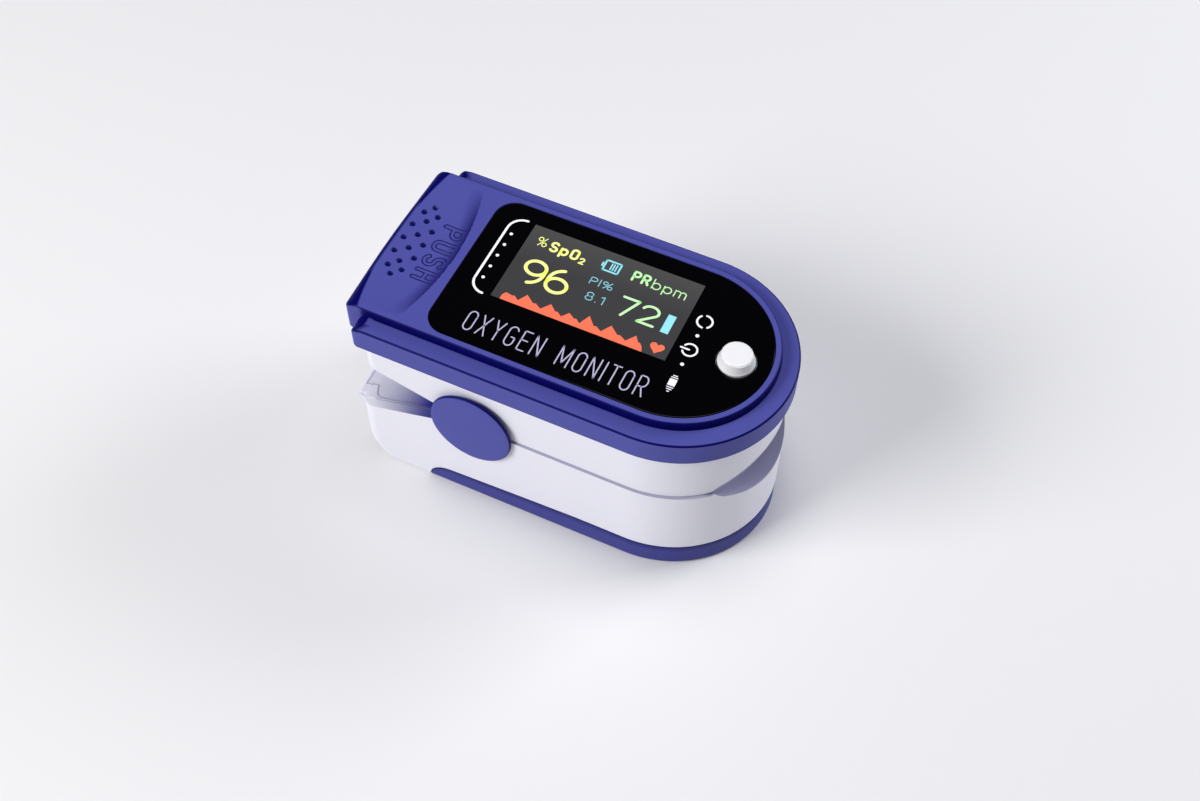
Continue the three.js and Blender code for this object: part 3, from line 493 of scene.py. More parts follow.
@dataclass(frozen=True)
class PlanOutline:
    """The plan shape shared by all layers: straight sides, a rounded finger end, a square back.

    The finger end is half an ellipse about END_X with semi-axes `reach` and `half`; the back corners
    are quarter circles; the back may bulge outwards as a parabola.
    """

    half: float
    reach: float
    back: float
    corner: float
    bulge: float = 0.0

    def inset(self, by: float) -> "PlanOutline":
        """The same shape drawn `by` millimetres further in."""
        corner = max(self.corner - by, 0.25)
        return replace(self, half=self.half - by, reach=self.reach - by, back=self.back + by, corner=corner)

    def points(self, cut: Sampling = Sampling()) -> Array:
        """Points round the outline, seen from above, anticlockwise from the finger end's near side."""
        start, c = self.back + self.corner, self.corner
        across = np.array(cut.back)
        side_x = END_X + np.array(cut.sides) * (start - END_X)
        front = arc(END_X, 0, self.reach, self.half, -90, 90, cut.front)
        far = np.column_stack([side_x, np.full(len(side_x), self.half)])
        far_corner = arc(start, self.half - c, c, c, 90, 180, cut.corner)
        back_x = self.back - self.bulge * (1 - across**2)
        back = np.column_stack([back_x, -across * (self.half - c)])
        near_corner = arc(start, -self.half + c, c, c, 180, 270, cut.corner)
        near = far[::-1] * np.array([1, -1])
        return np.concatenate([front, far, far_corner, back, near_corner, near])


def inward_of(outline: PlanOutline, cut: Sampling = Sampling()) -> Array:
    """Unit directions from each point of an outline towards its inside."""
    step = outline.inset(0.05).points(cut) - outline.points(cut)
    return step / np.linalg.norm(step, axis=1)[:, None]


def outline_of(node: str, corner: float, bulge: float = 0.0) -> PlanOutline:
    """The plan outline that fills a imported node's box.

    Args:
        node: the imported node.
        corner: radius of the back corners.
        bulge: how far the back swells beyond its corners.

    Returns:
        The outline.
    """
    low, high = node_box(node)
    return PlanOutline(high[1], high[0] - END_X, low[0] + bulge, corner, bulge)


def channel_depth(y: Array, arc_z: float, level: float, up: bool) -> Array:
    """How far the channel's circle of radius CHANNEL_R stands beyond a level edge, or 0."""
    sign = 1.0 if up else -1.0
    return np.clip(sign * (arc_z - level) + np.sqrt(np.clip(CHANNEL_R**2 - y**2, 0, None)), 0, None)


def rim_share(depth: Array) -> Array:
    """Rises from 0 to 1 as the channel's depth grows to the thickness of its rim."""
    return np.clip(depth / RIM, 0, 1)


def sloped_edge(points: Array, parting: float, slope: float, arc_z: float, up: bool) -> Array:
    """Height of a shell's hinge-side edge above or below each plan point.

    The edge is the parting plane; behind the pivot it runs off along the slope; under the finger end
    it follows the channel's arc, and gives way to the tray's rim that lies over it.
    """
    x, y = points[:, 0], points[:, 1]
    sign = 1.0 if up else -1.0
    behind = np.clip(PIVOT[0] - x, 0, None)
    wedge = behind * slope - (0.0 if up else DECK_LIFT) * smooth_step(behind / LIFT_RUN)
    depth = np.where(x > MOUTH_X, channel_depth(y, arc_z, parting, up), 0)
    return parting + sign * np.maximum(wedge, depth + RIM * rim_share(depth))


def parting_share(ring: Array) -> Array:
    """1 where the two halves meet edge to edge, 0 along the mouth and along the rear gap."""
    x, y = ring[:, 0], ring[:, 1]
    mouth = (x > MOUTH_X) & (np.abs(y) < MOUTH_HALF)
    return np.where(mouth | (x < PIVOT[0]), 0.0, 1.0)


def gap_painted_shade(x: Array) -> Array:
    """How much painted shade the rear gap takes: nothing near its open end, full beside the hinge."""
    return GAP_PAINTED_SHADE_MAX * smooth_step((x - GAP_OPEN_X) / GAP_RUN)


def end_fall(t: Array) -> Array:
    """Share of its full drop that a rounded end has at `t`, which is 0 at the end and 1 where it levels."""
    return 1 - np.sqrt(1 - (1 - t) ** 2)


def end_shade(t: Array, width: float | Array) -> Array:
    """How much painted shade a rounded end of the given width takes: full over most of it, fading before it
    levels.
    """
    return np.clip((1.0 - t) * width / END_SHADE_MM, 0, 1)


# ---------------------------------------------------------------- lettering


Stroke = Array


def line(*points: tuple[float, float]) -> Stroke:
    """A straight stroke through the points."""
    return np.array(points, float)


def bow(cx: float, cy: float, rx: float, ry: float, start: float, end: float) -> Stroke:
    """A curved stroke along an ellipse."""
    return arc(cx, cy, rx, ry, start, end, max(8, int(abs(end - start) / 10)))


def joined(*strokes: Stroke) -> Stroke:
    """Strokes run on from one to the next."""
    return np.concatenate(strokes)


def glyph_table() -> dict[str, tuple[float, list[Stroke]]]:
    """Single-stroke characters one unit high: advance width and strokes."""
    w = 0.46
    r = w / 2
    ring = joined(bow(r, 1 - r, r, r, 0, 180), bow(r, r, r, r, 180, 360), line((w, r), (w, 1 - r)))
    bowl = joined(line((0, 1), (r, 1)), bow(r, 0.73, r, 0.27, 90, -90), line((r, 0.46), (0, 0.46)))
    return {
        "O": (w, [ring]),
        "X": (w, [line((0, 0), (w, 1)), line((0, 1), (w, 0))]),
        "Y": (w, [line((0, 1), (r, 0.48)), line((w, 1), (r, 0.48)), line((r, 0.48), (r, 0))]),
        "G": (w, [joined(
            bow(r, 1 - r, r, r, 20, 180), bow(r, r, r, r, 180, 360), line((w, r), (w, 0.46), (r * 1.1, 0.46))
        )]),
        "E": (0.40, [line((0.4, 1), (0, 1), (0, 0), (0.4, 0)), line((0, 0.52), (0.35, 0.52))]),
        "N": (w, [line((0, 0), (0, 1)), line((0, 1), (w, 0)), line((w, 0), (w, 1))]),
        "M": (0.6, [
            line((0, 0), (0, 1)), line((0, 1), (0.3, 0.15)),
            line((0.3, 0.15), (0.6, 1)), line((0.6, 1), (0.6, 0)),
        ]),
        "I": (0.0, [line((0, 0), (0, 1))]),
        "T": (0.42, [line((0, 1), (0.42, 1)), line((0.21, 1), (0.21, 0))]),
        "R": (w, [line((0, 0), (0, 1)), bowl, line((r, 0.46), (w, 0))]),
        "P": (w, [line((0, 0), (0, 1)), bowl]),
        "U": (w, [joined(line((0, 1), (0, r)), bow(r, r, r, r, 180, 360), line((w, r), (w, 1)))]),
        "S": (w, [joined(bow(r, 0.75, r, 0.25, 30, 270), bow(r, 0.25, r, 0.25, 90, -150))]),
        "H": (w, [line((0, 0), (0, 1)), line((w, 0), (w, 1)), line((0, 0.5), (w, 0.5))]),
        "p": (w, [line((0, 0.66), (0, -0.26)), joined(bow(r, 0.33, r, 0.33, 180, -180))]),
        "b": (w, [line((0, 1), (0, 0)), joined(bow(r, 0.33, r, 0.33, 180, -180))]),
        "m": (0.66, [
            line((0, 0.66), (0, 0)),
            joined(bow(0.165, 0.46, 0.165, 0.2, 180, 0), line((0.33, 0.46), (0.33, 0))),
            joined(bow(0.495, 0.46, 0.165, 0.2, 180, 0), line((0.66, 0.46), (0.66, 0))),
        ]),
        "%": (0.72, [
            bow(0.16, 0.76, 0.16, 0.22, 0, 360), bow(0.56, 0.24, 0.16, 0.22, 0, 360), line((0.6, 1), (0.12, 0))
        ]),
        "9": (0.5, [
            bow(0.25, 0.70, 0.25, 0.30, 0, 360),
            joined(line((0.5, 0.70), (0.5, 0.55)), bow(0.14, 0.5, 0.36, 0.5, 0, -75)),
        ]),
        "6": (0.5, [
            bow(0.25, 0.30, 0.25, 0.30, 0, 360),
            joined(line((0.0, 0.30), (0.0, 0.45)), bow(0.36, 0.5, 0.36, 0.5, 180, 105)),
        ]),
        "7": (0.5, [line((0, 1), (0.5, 1), (0.16, 0))]),
        "2": (0.5, [joined(bow(0.25, 0.72, 0.25, 0.28, 165, -35), line((0.0, 0.0), (0.5, 0.0)))]),
        "8": (0.48, [bow(0.24, 0.75, 0.21, 0.25, 0, 360), bow(0.24, 0.26, 0.24, 0.26, 0, 360)]),
        "1": (0.22, [line((0, 0.82), (0.2, 1), (0.2, 0))]),
        ".": (0.06, [line((0.03, 0.0), (0.03, 0.02))]),
        " ": (0.34, []),
    }


GLYPHS = glyph_table()


def ribbon_outline(stroke: Stroke, width: float) -> Array:
    """Outline of a round-ended pen stroke: its centre line pushed half a width to each side."""
    step = np.linalg.norm(np.diff(stroke, axis=0), axis=1)
    kept = stroke[np.concatenate([[True], step > 1e-6])]
    along = np.gradient(kept, axis=0)
    along /= np.linalg.norm(along, axis=1)[:, None]
    side = np.column_stack([-along[:, 1], along[:, 0]]) * width / 2
    heading = np.degrees(np.arctan2(along[:, 1], along[:, 0]))
    end_cap = arc(kept[-1, 0], kept[-1, 1], width / 2, width / 2, heading[-1] + 90, heading[-1] - 90, 7)[1:-1]
    start_cap = arc(kept[0, 0], kept[0, 1], width / 2, width / 2, heading[0] - 90, heading[0] - 270, 7)[1:-1]
    return np.concatenate([kept + side, end_cap, (kept - side)[::-1], start_cap])


def pieces_of(stroke: Stroke) -> list[Stroke]:
    """Split a stroke where it turns by more than 35 degrees, so that each corner gets round ends."""
    step = np.diff(stroke, axis=0)
    keep = np.linalg.norm(step, axis=1) > 1e-6
    points = np.concatenate([stroke[:1], stroke[1:][keep]])
    step = np.diff(points, axis=0)
    heading = np.unwrap(np.arctan2(step[:, 1], step[:, 0]))
    corners = np.nonzero(np.abs(np.diff(heading)) > math.radians(35))[0] + 1
    cuts = [0, *corners.tolist(), len(points) - 1]
    return [points[a : b + 1] for a, b in zip(cuts[:-1], cuts[1:]) if b > a]


def text_strokes(
    text: str, height: float, spacing: float, stretch: float = 1.0
) -> tuple[list[Stroke], float]:
    """Lay characters out from the origin.

    Args:
        text: the characters.
        height: cap height in millimetres.
        spacing: gap between characters, as a share of the height.
        stretch: how much wider than drawn.

    Returns:
        The strokes and the total width, in millimetres.
    """
    pen, strokes = 0.0, []
    for character in text:
        width, drawn = GLYPHS[character]
        strokes += [(s * np.array([stretch, 1.0]) + np.array([pen, 0])) * height for s in drawn]
        pen += width * stretch + spacing
    return strokes, (pen - spacing) * height


def placed(strokes: Iterable[Stroke], x: float, y: float, turn_deg: float = 0.0) -> list[Stroke]:
    """Turn strokes about the origin, then move them."""
    a = math.radians(turn_deg)
    turn = np.array([[math.cos(a), math.sin(a)], [-math.sin(a), math.cos(a)]])
    return [s @ turn + np.array([x, y]) for s in strokes]


def fitted_text(text: str, x0: float, x1: float, y: float, height: float, spacing: float) -> list[Stroke]:
    """Characters stretched sideways to run from x0 to x1 on the baseline y."""
    _, natural = text_strokes(text, height, spacing)
    gaps = spacing * height * (len(text) - 1)
    stretch = (x1 - x0 - gaps) / (natural - gaps)
    strokes, _ = text_strokes(text, height, spacing, stretch)
    return placed(strokes, x0, y)


# ---------------------------------------------------------------- upper half


@dataclass
class TopCover:
    """The blue cover: a wide flange, and a plateau with a scooped and dimpled thumb rest."""

    flange: PlanOutline = field(default_factory=lambda: PlanOutline(15.75, 16.26, -26.7, 1.0))
    plateau_inset: float = 2.55
    gutter: float = 0.12
    bulge: float = 0.6
    flange_z: tuple[float, float] = (26.6, 30.6)
    wall_inset: float = 1.4
    roof_inset: float = 3.0
    roof_z: float = 29.4
    edge_r: float = 0.26
    end_r: float = 1.9
    end_drop: float = 1.8
    brow_r: float = 0.20
    nose_drop: float = 1.5
    nose_width: float = 0.95
    nose_corner_width: float = 2.3
    scoop_edge_x: float = -18.95
    scoop_r: float = 38.4
    scoop_depth: float = 1.15
    scoop_wall: float = 2.2
    scoop_half: float = 12.4
    dimple_r: float = 0.42
    dimple_depth: float = 0.28
    dimple_at: tuple[float, float] = (-25.8, 0.6)
    dimple_rows: int = 5
    row_pitch: float = 1.28
    wide_pair: float = 1.5
    narrow_pair: float = 1.05
    word_x: float = -22.98
    word_y: float = 0.07
    word_height: float = 2.9
    word_gap: float = 0.44
    word_pen: float = 0.55

    def __post_init__(self) -> None:
        """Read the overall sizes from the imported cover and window."""
        low, high = node_box("top_cover")
        self.top_z = high[2]
        self.flange = replace(self.flange, half=high[1], reach=high[0] - END_X)
        back = low[0] + self.bulge
        half, reach = high[1] - self.plateau_inset, self.flange.reach - self.plateau_inset
        self.plateau = PlanOutline(half, reach, back, 0.9, self.bulge)
        glass_low, glass_high = node_box("display_window")
        self.glass = PlanOutline(glass_high[1], glass_high[0] - END_X, glass_low[0], 3.0)

    def make_flange(self, piece: Piece) -> None:
        """A closed profile round the flange outline: outer face with rounded edges, top, roof, wall. Painted
        shade lies along its edges, its rounded back end and the gutter under the plateau.
        """
        z0, z1 = self.flange_z
        inward = inward_of(self.flange)
        start = self.flange.points()
        rings, shades = [], []

        def lay(flat: Array, z: float, shade: float, rounded: bool = True) -> None:
            """Add one ring; where rounded, it drops and takes painted shade towards the flange's back end."""
            t = np.clip((flat[:, 0] - self.flange.back) / self.end_r, 0, 1) if rounded else np.ones(len(flat))
            rings.append(at_height(flat, z - self.end_drop * end_fall(t)))
            shades.append(np.maximum(shade, end_shade(t, self.end_r)))

        r = self.edge_r
        # Bottom edge, with painted shade along it.
        for a in np.linspace(0, math.pi / 2, 7):
            lay(start + inward * r * (1 - math.sin(a)), z0 + r * (1 - math.cos(a)), 0.6, False)
        lay(start, z0 + r + 0.12, 0.0, False)
        t = np.clip((start[:, 0] - self.flange.back) / self.end_r, 0, 1)
        rings.append(at_height(start, z1 - r - 0.06 - self.end_drop * end_fall(t)))
        shades.append(np.zeros(len(start)))
        # Top edge, with painted shade along its crest.
        for a in np.linspace(0, math.pi / 2, 7):
            crest = 1.0 if 0.05 < a < 1.5 else 0.0
            lay(start + inward * r * (1 - math.cos(a)), z1 - r * (1 - math.sin(a)), crest)
        near = self.plateau_inset - self.gutter
        edge, inner = rings[-1][:, :2], self.flange.inset(near).points()
        for share in np.linspace(0, 1, 13)[1:]:
            lay(edge + (inner - edge) * share, z1, 0.0)
        # Under the plateau's edge the gutter takes full painted shade.
        profile = [(near + 0.06, z1 - 0.05, 1.0), (self.roof_inset, z1 - 0.05, 1.0)]
        profile += [(self.roof_inset, self.roof_z, 0.0), (self.wall_inset, self.roof_z, 0.0)]
        for inset, z, shade in [*profile, (self.wall_inset, z0, 0.0)]:
            lay(self.flange.inset(inset).points(), z, shade, False)
        piece.add(*torus_shell(rings), np.concatenate(shades))

    def _rest_sampling(self) -> Sampling:
        """Points across the back packed closely where the dimples and the word lie."""
        half = self.plateau.half - self.plateau.corner
        fine = np.arange(-6.7, 7.5, 0.085)
        coarse_low, coarse_high = np.linspace(-half, -6.9, 18)[1:], np.linspace(7.7, half, 16)[:-1]
        across = np.sort(-np.concatenate([coarse_low, fine, coarse_high]) / half)
        return Sampling(front=73, sides=tuple(np.linspace(0, 1, 61)[1:-1]), corner=9, back=tuple(across))

    def _word(self) -> list[Stroke]:
        """Centre lines of the word PUSH, read from the far side, tops towards the window."""
        strokes, width = text_strokes("PUSH", self.word_height, self.word_gap, 1.09)
        return placed(strokes, self.word_x, self.word_y + width / 2, -90.0)

    def rest_height(self, x: Array, y: Array) -> Array:
        """Depth of the thumb rest below the plateau's top at each plan point.

        The scoop starts at a large arc and drops along a quarter ellipse, then runs level and rises a
        little towards the end; its depth fades to nothing at both ends of the arc. Dimples are round
        cups in staggered rows. The word is cut as a fine groove along its letters' outlines.
        """
        centre_x = self.scoop_edge_x - self.scoop_r
        inside = self.scoop_r - np.hypot(x - centre_x, y)
        t = np.clip(inside / self.scoop_wall, 0, 1)
        wall = np.sqrt(np.clip(1 - (1 - t) ** 2.2, 0, 1))
        fade = np.clip(1 - (np.abs(y) / self.scoop_half) ** 2.4, 0, 1)
        rise = 1 - 0.35 * smooth_step((self.scoop_edge_x - 3 - x) / 8.0)
        depth = self.scoop_depth * wall * fade * rise
        return depth + self.dimple_depth * self._dimples(x, y) + 0.10 * self._groove(x, y)

    def rest_shade(self, x: Array, y: Array) -> Array:
        """How much painted shade the rest takes: full at the top of the scoop's wall, in the dimples and in
        the word.
        """
        inside = self.scoop_r - np.hypot(x - self.scoop_edge_x + self.scoop_r, y)
        t = np.clip(inside / self.scoop_wall, 0, 1)
        fade = np.clip(1 - (np.abs(y) / self.scoop_half) ** 3, 0, 1)
        wall = np.where(inside > 0, (1 - t) * fade, 0)
        marks = np.clip(np.maximum(4.0 * self._dimples(x, y), 1.5 * self._groove(x, y)), 0, 1)
        return np.maximum(wall, marks)

    def _dimples(self, x: Array, y: Array) -> Array:
        """Share of full depth in the cups: odd rows have one, even rows a pair set apart."""
        total = np.zeros_like(x)
        for row in range(-self.dimple_rows, self.dimple_rows + 1):
            apart = self.wide_pair if abs(row) < self.dimple_rows - 1 else self.narrow_pair
            for step in (0.0,) if row % 2 else (-apart, apart):
                cx = self.dimple_at[0] + step
                cy = self.dimple_at[1] + row * self.row_pitch
                ratio = np.hypot(x - cx, y - cy) / self.dimple_r
                total += np.sqrt(np.clip(1 - ratio**3, 0, 1))
        return total

    def _groove(self, x: Array, y: Array) -> Array:
        """Share of full depth in the word: greatest half a pen width from the letters' centre lines."""
        here = np.stack([x.ravel(), y.ravel()], 1)
        near = (here[:, 0] > -25.2) & (here[:, 0] < -20.0) & (np.abs(here[:, 1]) < 7.5)
        distance = np.full(len(here), 9.0)
        spots = here[near]
        best = np.full(len(spots), 9.0)
        for stroke in self._word():
            a, b = stroke[:-1], stroke[1:]
            along = b - a
            squared = np.maximum((along**2).sum(1), 1e-9)
            share = np.einsum("nkj,kj->nk", spots[:, None] - a[None], along) / squared
            gap = spots[:, None] - a[None] - np.clip(share, 0, 1)[..., None] * along[None]
            best = np.minimum(best, np.sqrt((gap**2).sum(-1)).min(1))
        distance[near] = best
        profile = np.exp(-(((distance - self.word_pen / 2) / 0.085) ** 2))
        return profile.reshape(x.shape)

    def make_plateau(self, piece: Piece) -> None:
        """A closed profile round the plateau: wall, rounded brow, top, window recess, roof. Painted shade lies
        on the wall and brow above the flange and on the rounded nose.
        """
        cut = self._rest_sampling()
        outer = self.plateau.points(cut)
        inward = inward_of(self.plateau, cut)
        inner_nose = smooth_step((-25.6 - outer[:, 0]) / 0.7)
        floor = self.roof_z + (self.flange_z[0] - self.roof_z) * inner_nose
        # Painted shade mask: the wall and brow above the flange are darkened.
        gutter = np.where(outer[:, 0] > -26.4, 1.0, 0.0)
        rings = [at_height(outer + inward * 0.35, floor), at_height(outer, floor + 0.35)]
        shades = [0.6 * gutter, gutter]
        for share in np.linspace(0, 1, 13):
            angle = share * math.pi / 2
            shift = self.brow_r * (1 - math.cos(angle))
            height = self.top_z - self.brow_r * (1 - math.sin(angle))
            rings.append(at_height(outer + inward * shift, height))
            shades.append((gutter if share < 0.3 else 1.0) * (1 - share**6))
        brow_edge = rings[-1][:, :2]
        recess = self.glass.inset(-0.12).points(cut)
        spread = np.concatenate([[0.02, 0.05], np.linspace(0.08, 1, 92)])
        for share in spread:
            flat = brow_edge + (recess - brow_edge) * share
            rings.append(at_height(flat, self.top_z))
            shades.append(0.0)
        sunk = [self._sink(r, s) for r, s in zip(rings[2:], shades[2:])]
        sunk = [(r, s) for r, s in zip(rings[:2], shades[:2])] + sunk
        rings, shade = [r for r, _ in sunk], [s for _, s in sunk]
        ledge = self.glass.inset(1.3).points(cut)
        rings += [at_height(recess, 30.6), at_height(ledge, 30.6), at_height(ledge, self.roof_z)]
        rings.append(at_height(outer + inward * 1.2, self.roof_z))
        rings.append(at_height(outer + inward * 1.2, floor))
        piece.add(*torus_shell(rings), np.concatenate(shade))

    def _sink(self, ring: Array, shade: float | Array) -> tuple[Array, Array]:
        """Lower a ring's points by the rest's depth and the nose's round, and give them painted shade to suit.
        """
        x, y, z = ring.T
        in_rest = x < self.scoop_edge_x + 0.01
        end_x = self.plateau.back - self.bulge * (1 - (y / self.plateau.half) ** 2)
        aside = np.abs(y / self.plateau.half) ** 2.5
        width = self.nose_width + (self.nose_corner_width - self.nose_width) * aside
        t = np.clip((x - end_x) / width, 0, 1)
        nose = self.nose_drop * end_fall(t)
        depth = np.where(in_rest, self.rest_height(x, y) + nose, 0.0)
        on_top = z > self.top_z - 0.7 * self.brow_r
        # Painted shade: the rest's own, and the rounded nose's on the top.
        dark = np.where(in_rest, np.maximum(shade, self.rest_shade(x, y)), shade)
        dark = np.where(on_top, np.maximum(dark, end_shade(t, width)), dark)
        return np.column_stack([x, y, z - depth]), np.broadcast_to(dark, len(x))

    def build(self) -> bpy.types.Object:
        """Make and dress the cover."""
        piece = Piece("cover_shell")
        self.make_flange(piece)
        self.make_plateau(piece)
        return piece.finish(BLUE, Body.UPPER, "blue_shell", "top_cover")


@dataclass
class DisplayWindow:
    """The flush black window with its hole for the button."""

    corner: float = 3.0
    edge_r: float = 0.12
    hole_r: float = 2.72

    def build(self) -> bpy.types.Object:
        """Rings run from the outline to the hole's circle on top, down the hole, and back below."""
        low, high = node_box("display_window")
        button_low, button_high = node_box("power_button")
        centre = (button_low[:2] + button_high[:2]) / 2
        outline = PlanOutline(high[1], high[0] - END_X, low[0], self.corner)
        points = outline.points()
        away = points - centre
        circle = centre + self.hole_r * away / np.linalg.norm(away, axis=1)[:, None]
        inner = outline.inset(self.edge_r).points()
        rings = [at_height(points, low[2]), at_height(points, high[2] - self.edge_r)]
        middle = outline.inset(self.edge_r * 0.3).points()
        rings += [at_height(middle, high[2] - self.edge_r * 0.3), at_height(inner, high[2])]
        shares = (0.004, 0.3, 0.6, 0.85, 0.99, 1.0)
        rings += [at_height(inner + (circle - inner) * s, high[2]) for s in shares]
        rings.append(at_height(circle, low[2]))
        piece = Piece("window_plate").add(*torus_shell(rings))
        return piece.finish(GLOSS_BLACK, Body.UPPER, "window", "display_window")


@dataclass
class WindowPrint:
    """What shows on the window: the lit display, the icons, the bracket and the name line."""

    layer: float = 0.012
    display: tuple[float, float, float, float] = (-11.62, 13.46, -3.93, 9.65)
    icon_x: float = 15.7

    def __post_init__(self) -> None:
        """The prints lie on the window's top."""
        self.top_z = node_box("display_window")[1][2]

    def _ribbons(self, piece: Piece, strokes: Iterable[Stroke], width: float, level: int = 2) -> None:
        """Lay pen strokes on the window, each as a thin closed ribbon."""
        z0 = self.top_z + self.layer * (level - 1)
        for stroke in strokes:
            for part in pieces_of(stroke):
                if len(part) > 1:
                    piece.add(*flat_shell(ribbon_outline(part, width), z0, z0 + self.layer))

    def _area(self, piece: Piece, outline: Array, level: int = 2) -> None:
        """Lay one flat filled shape on the window."""
        z0 = self.top_z + self.layer * (level - 1)
        piece.add(*flat_shell(outline, z0, z0 + self.layer))

    def _dot(self, piece: Piece, x: float, y: float, r: float) -> None:
        """Lay one round dot on the window."""
        self._area(piece, arc(x, y, r, r, 0, 345, 24))

    def make_panel(self) -> None:
        """The display's grey rectangle."""
        x0, x1, y0, y1 = self.display
        piece = Piece("display_image")
        self._area(piece, np.array([[x0, y0], [x1, y0], [x1, y1], [x0, y1]]), 1)
        piece.finish(PanelFinish(), Body.UPPER, "display")

    def make_readings(self) -> None:
        """Saturation in yellow, pulse rate in green, perfusion in teal."""
        yellow = Piece("saturation_reading")
        self._ribbons(yellow, fitted_text("%", -10.05, -8.75, 6.5, 1.5, 0.2), 0.15)
        self._ribbons(yellow, fitted_text("SpO", -8.0, -4.05, 6.35, 1.5, 0.42), 0.36)
        self._ribbons(yellow, fitted_text("2", -3.5, -2.9, 6.0, 0.9, 0.2), 0.22)
        self._ribbons(yellow, fitted_text("96", -9.65, -3.05, 0.0, 3.95, 0.2), 0.5)
        yellow.finish(LIT_YELLOW, Body.UPPER, "display")
        green = Piece("pulse_reading")
        self._ribbons(green, fitted_text("PR", 4.15, 6.4, 6.45, 1.5, 0.36), 0.34)
        self._ribbons(green, fitted_text("bpm", 7.05, 11.8, 6.25, 1.6, 0.32), 0.17)
        self._ribbons(green, fitted_text("72", 4.5, 9.8, 0.4, 3.0, 0.26), 0.38)
        green.finish(LIT_GREEN, Body.UPPER, "display")
        teal = Piece("perfusion_reading")
        self._ribbons(teal, fitted_text("PI%", -0.75, 2.45, 3.5, 1.15, 0.38), 0.14)
        self._ribbons(teal, fitted_text("8.1", -0.2, 2.35, 0.85, 1.3, 0.38), 0.14)
        teal.finish(LIT_TEAL, Body.UPPER, "display")

    def make_bars(self) -> None:
        """The small battery sign and the pulse bar."""
        piece = Piece("cyan_signs")
        x, y, wide, tall = -0.15, 6.4, 2.15, 1.75
        frame_line = line((x, y), (x + wide, y), (x + wide, y + tall), (x, y + tall), (x, y))
        self._ribbons(piece, [frame_line], 0.26)
        for i in range(3):
            bar_x = x + 0.95 + i * 0.36
            self._ribbons(piece, [line((bar_x, y + 0.35), (bar_x, y + tall - 0.35))], 0.2)
        self._ribbons(piece, [line((x - 0.32, y + 0.6), (x - 0.32, y + tall - 0.6))], 0.26)
        self._area(piece, np.array([[10.98, 0.1], [12.1, 0.1], [12.1, 3.2], [10.98, 3.2]]))
        piece.finish(LIT_CYAN, Body.UPPER, "display")

    def make_wave(self) -> None:
        """The pulse wave, filled down to the display's lower edge, and the heart."""
        piece = Piece("pulse_wave")
        base_y = self.display[2]
        beats = ((-9.95, 1.3), (-7.2, 2.1), (-3.7, 2.05), (-0.9, 1.75), (1.7, 2.45), (4.95, 2.2), (8.55, 2.1))
        rest, shoulder = 0.75, 1.15
        crest = [(-10.3, rest)]
        for (x, peak), (after, _) in zip(beats, (*beats[1:], (10.4, 0.0))):
            span = after - x
            crest += [(x, peak), (x + 0.36 * span, shoulder)]
            crest += [(x + 0.46 * span, shoulder + 0.12), (x + 0.72 * span, rest)]
        outline = [(x, base_y + h) for x, h in crest] + [(crest[-1][0] + 0.3, base_y), (crest[0][0], base_y)]
        self._area(piece, np.array(outline))
        t = np.linspace(0, 2 * np.pi, 48, endpoint=False)
        heart_x = 16 * np.sin(t) ** 3
        heart_y = 13 * np.cos(t) - 5 * np.cos(2 * t) - 2 * np.cos(3 * t) - np.cos(4 * t)
        self._area(piece, np.column_stack([11.72 + heart_x * 0.062, -2.5 + heart_y * 0.062])[::-1])
        piece.finish(LIT_CORAL, Body.UPPER, "display")

    def make_icons(self) -> None:
        """White print round the display: bracket with dots, and the column of signs by the button."""
        piece = Piece("printed_signs")
        x, r = -14.9, 2.1
        bracket = joined(
            bow(x + r, 9.7 - r, r, r, 90, 180),
            line((x, 7.4), (x, -2.2)),
            bow(x + r, -4.1 + r, r, r, 180, 270),
        )
        self._ribbons(piece, [bracket], 0.34)
        for i in range(5):
            self._dot(piece, x + 1.0, 6.7 - 2.08 * i, 0.24)
        cx = self.icon_x
        self._ribbons(piece, [bow(cx, 4.07, 1.02, 1.02, -50, 96), bow(cx, 4.07, 1.02, 1.02, 136, 270)], 0.27)
        self._dot(piece, cx, 1.54, 0.26)
        pointed_ring = [bow(cx, -0.98, 0.98, 0.98, -150, 150), line((cx - 1.25, -0.98), (cx - 0.1, -0.98))]
        self._ribbons(piece, pointed_ring, 0.26)
        self._dot(piece, cx, -3.49, 0.26)
        self._area(piece, np.array([[cx - 0.5, -7.2], [cx + 0.5, -7.2], [cx + 0.5, -6.1], [cx - 0.5, -6.1]]))
        for y, half in ((-8.15, 0.12), (-7.8, 0.3), (-7.47, 0.42), (-5.85, 0.42), (-5.55, 0.26)):
            self._ribbons(piece, [line((cx - half, y), (cx + half, y))], 0.14)
        # The white print takes a painted glow from its finish.
        piece.finish(GLOWING_PRINT_WHITE, Body.UPPER, "window")

    def make_name(self) -> None:
        """A generic name line in thin capitals."""
        piece = Piece("printed_name")
        self._ribbons(piece, fitted_text("OXYGEN MONITOR", -12.6, 12.95, -10.4, 3.15, 0.26), 0.19)
        # The grey print takes a painted glow from its finish.
        piece.finish(GLOWING_PRINT_GREY, Body.UPPER, "window")

    def build(self) -> None:
        """Make every print."""
        self.make_panel()
        self.make_readings()
        self.make_bars()
        self.make_wave()
        self.make_icons()
        self.make_name()


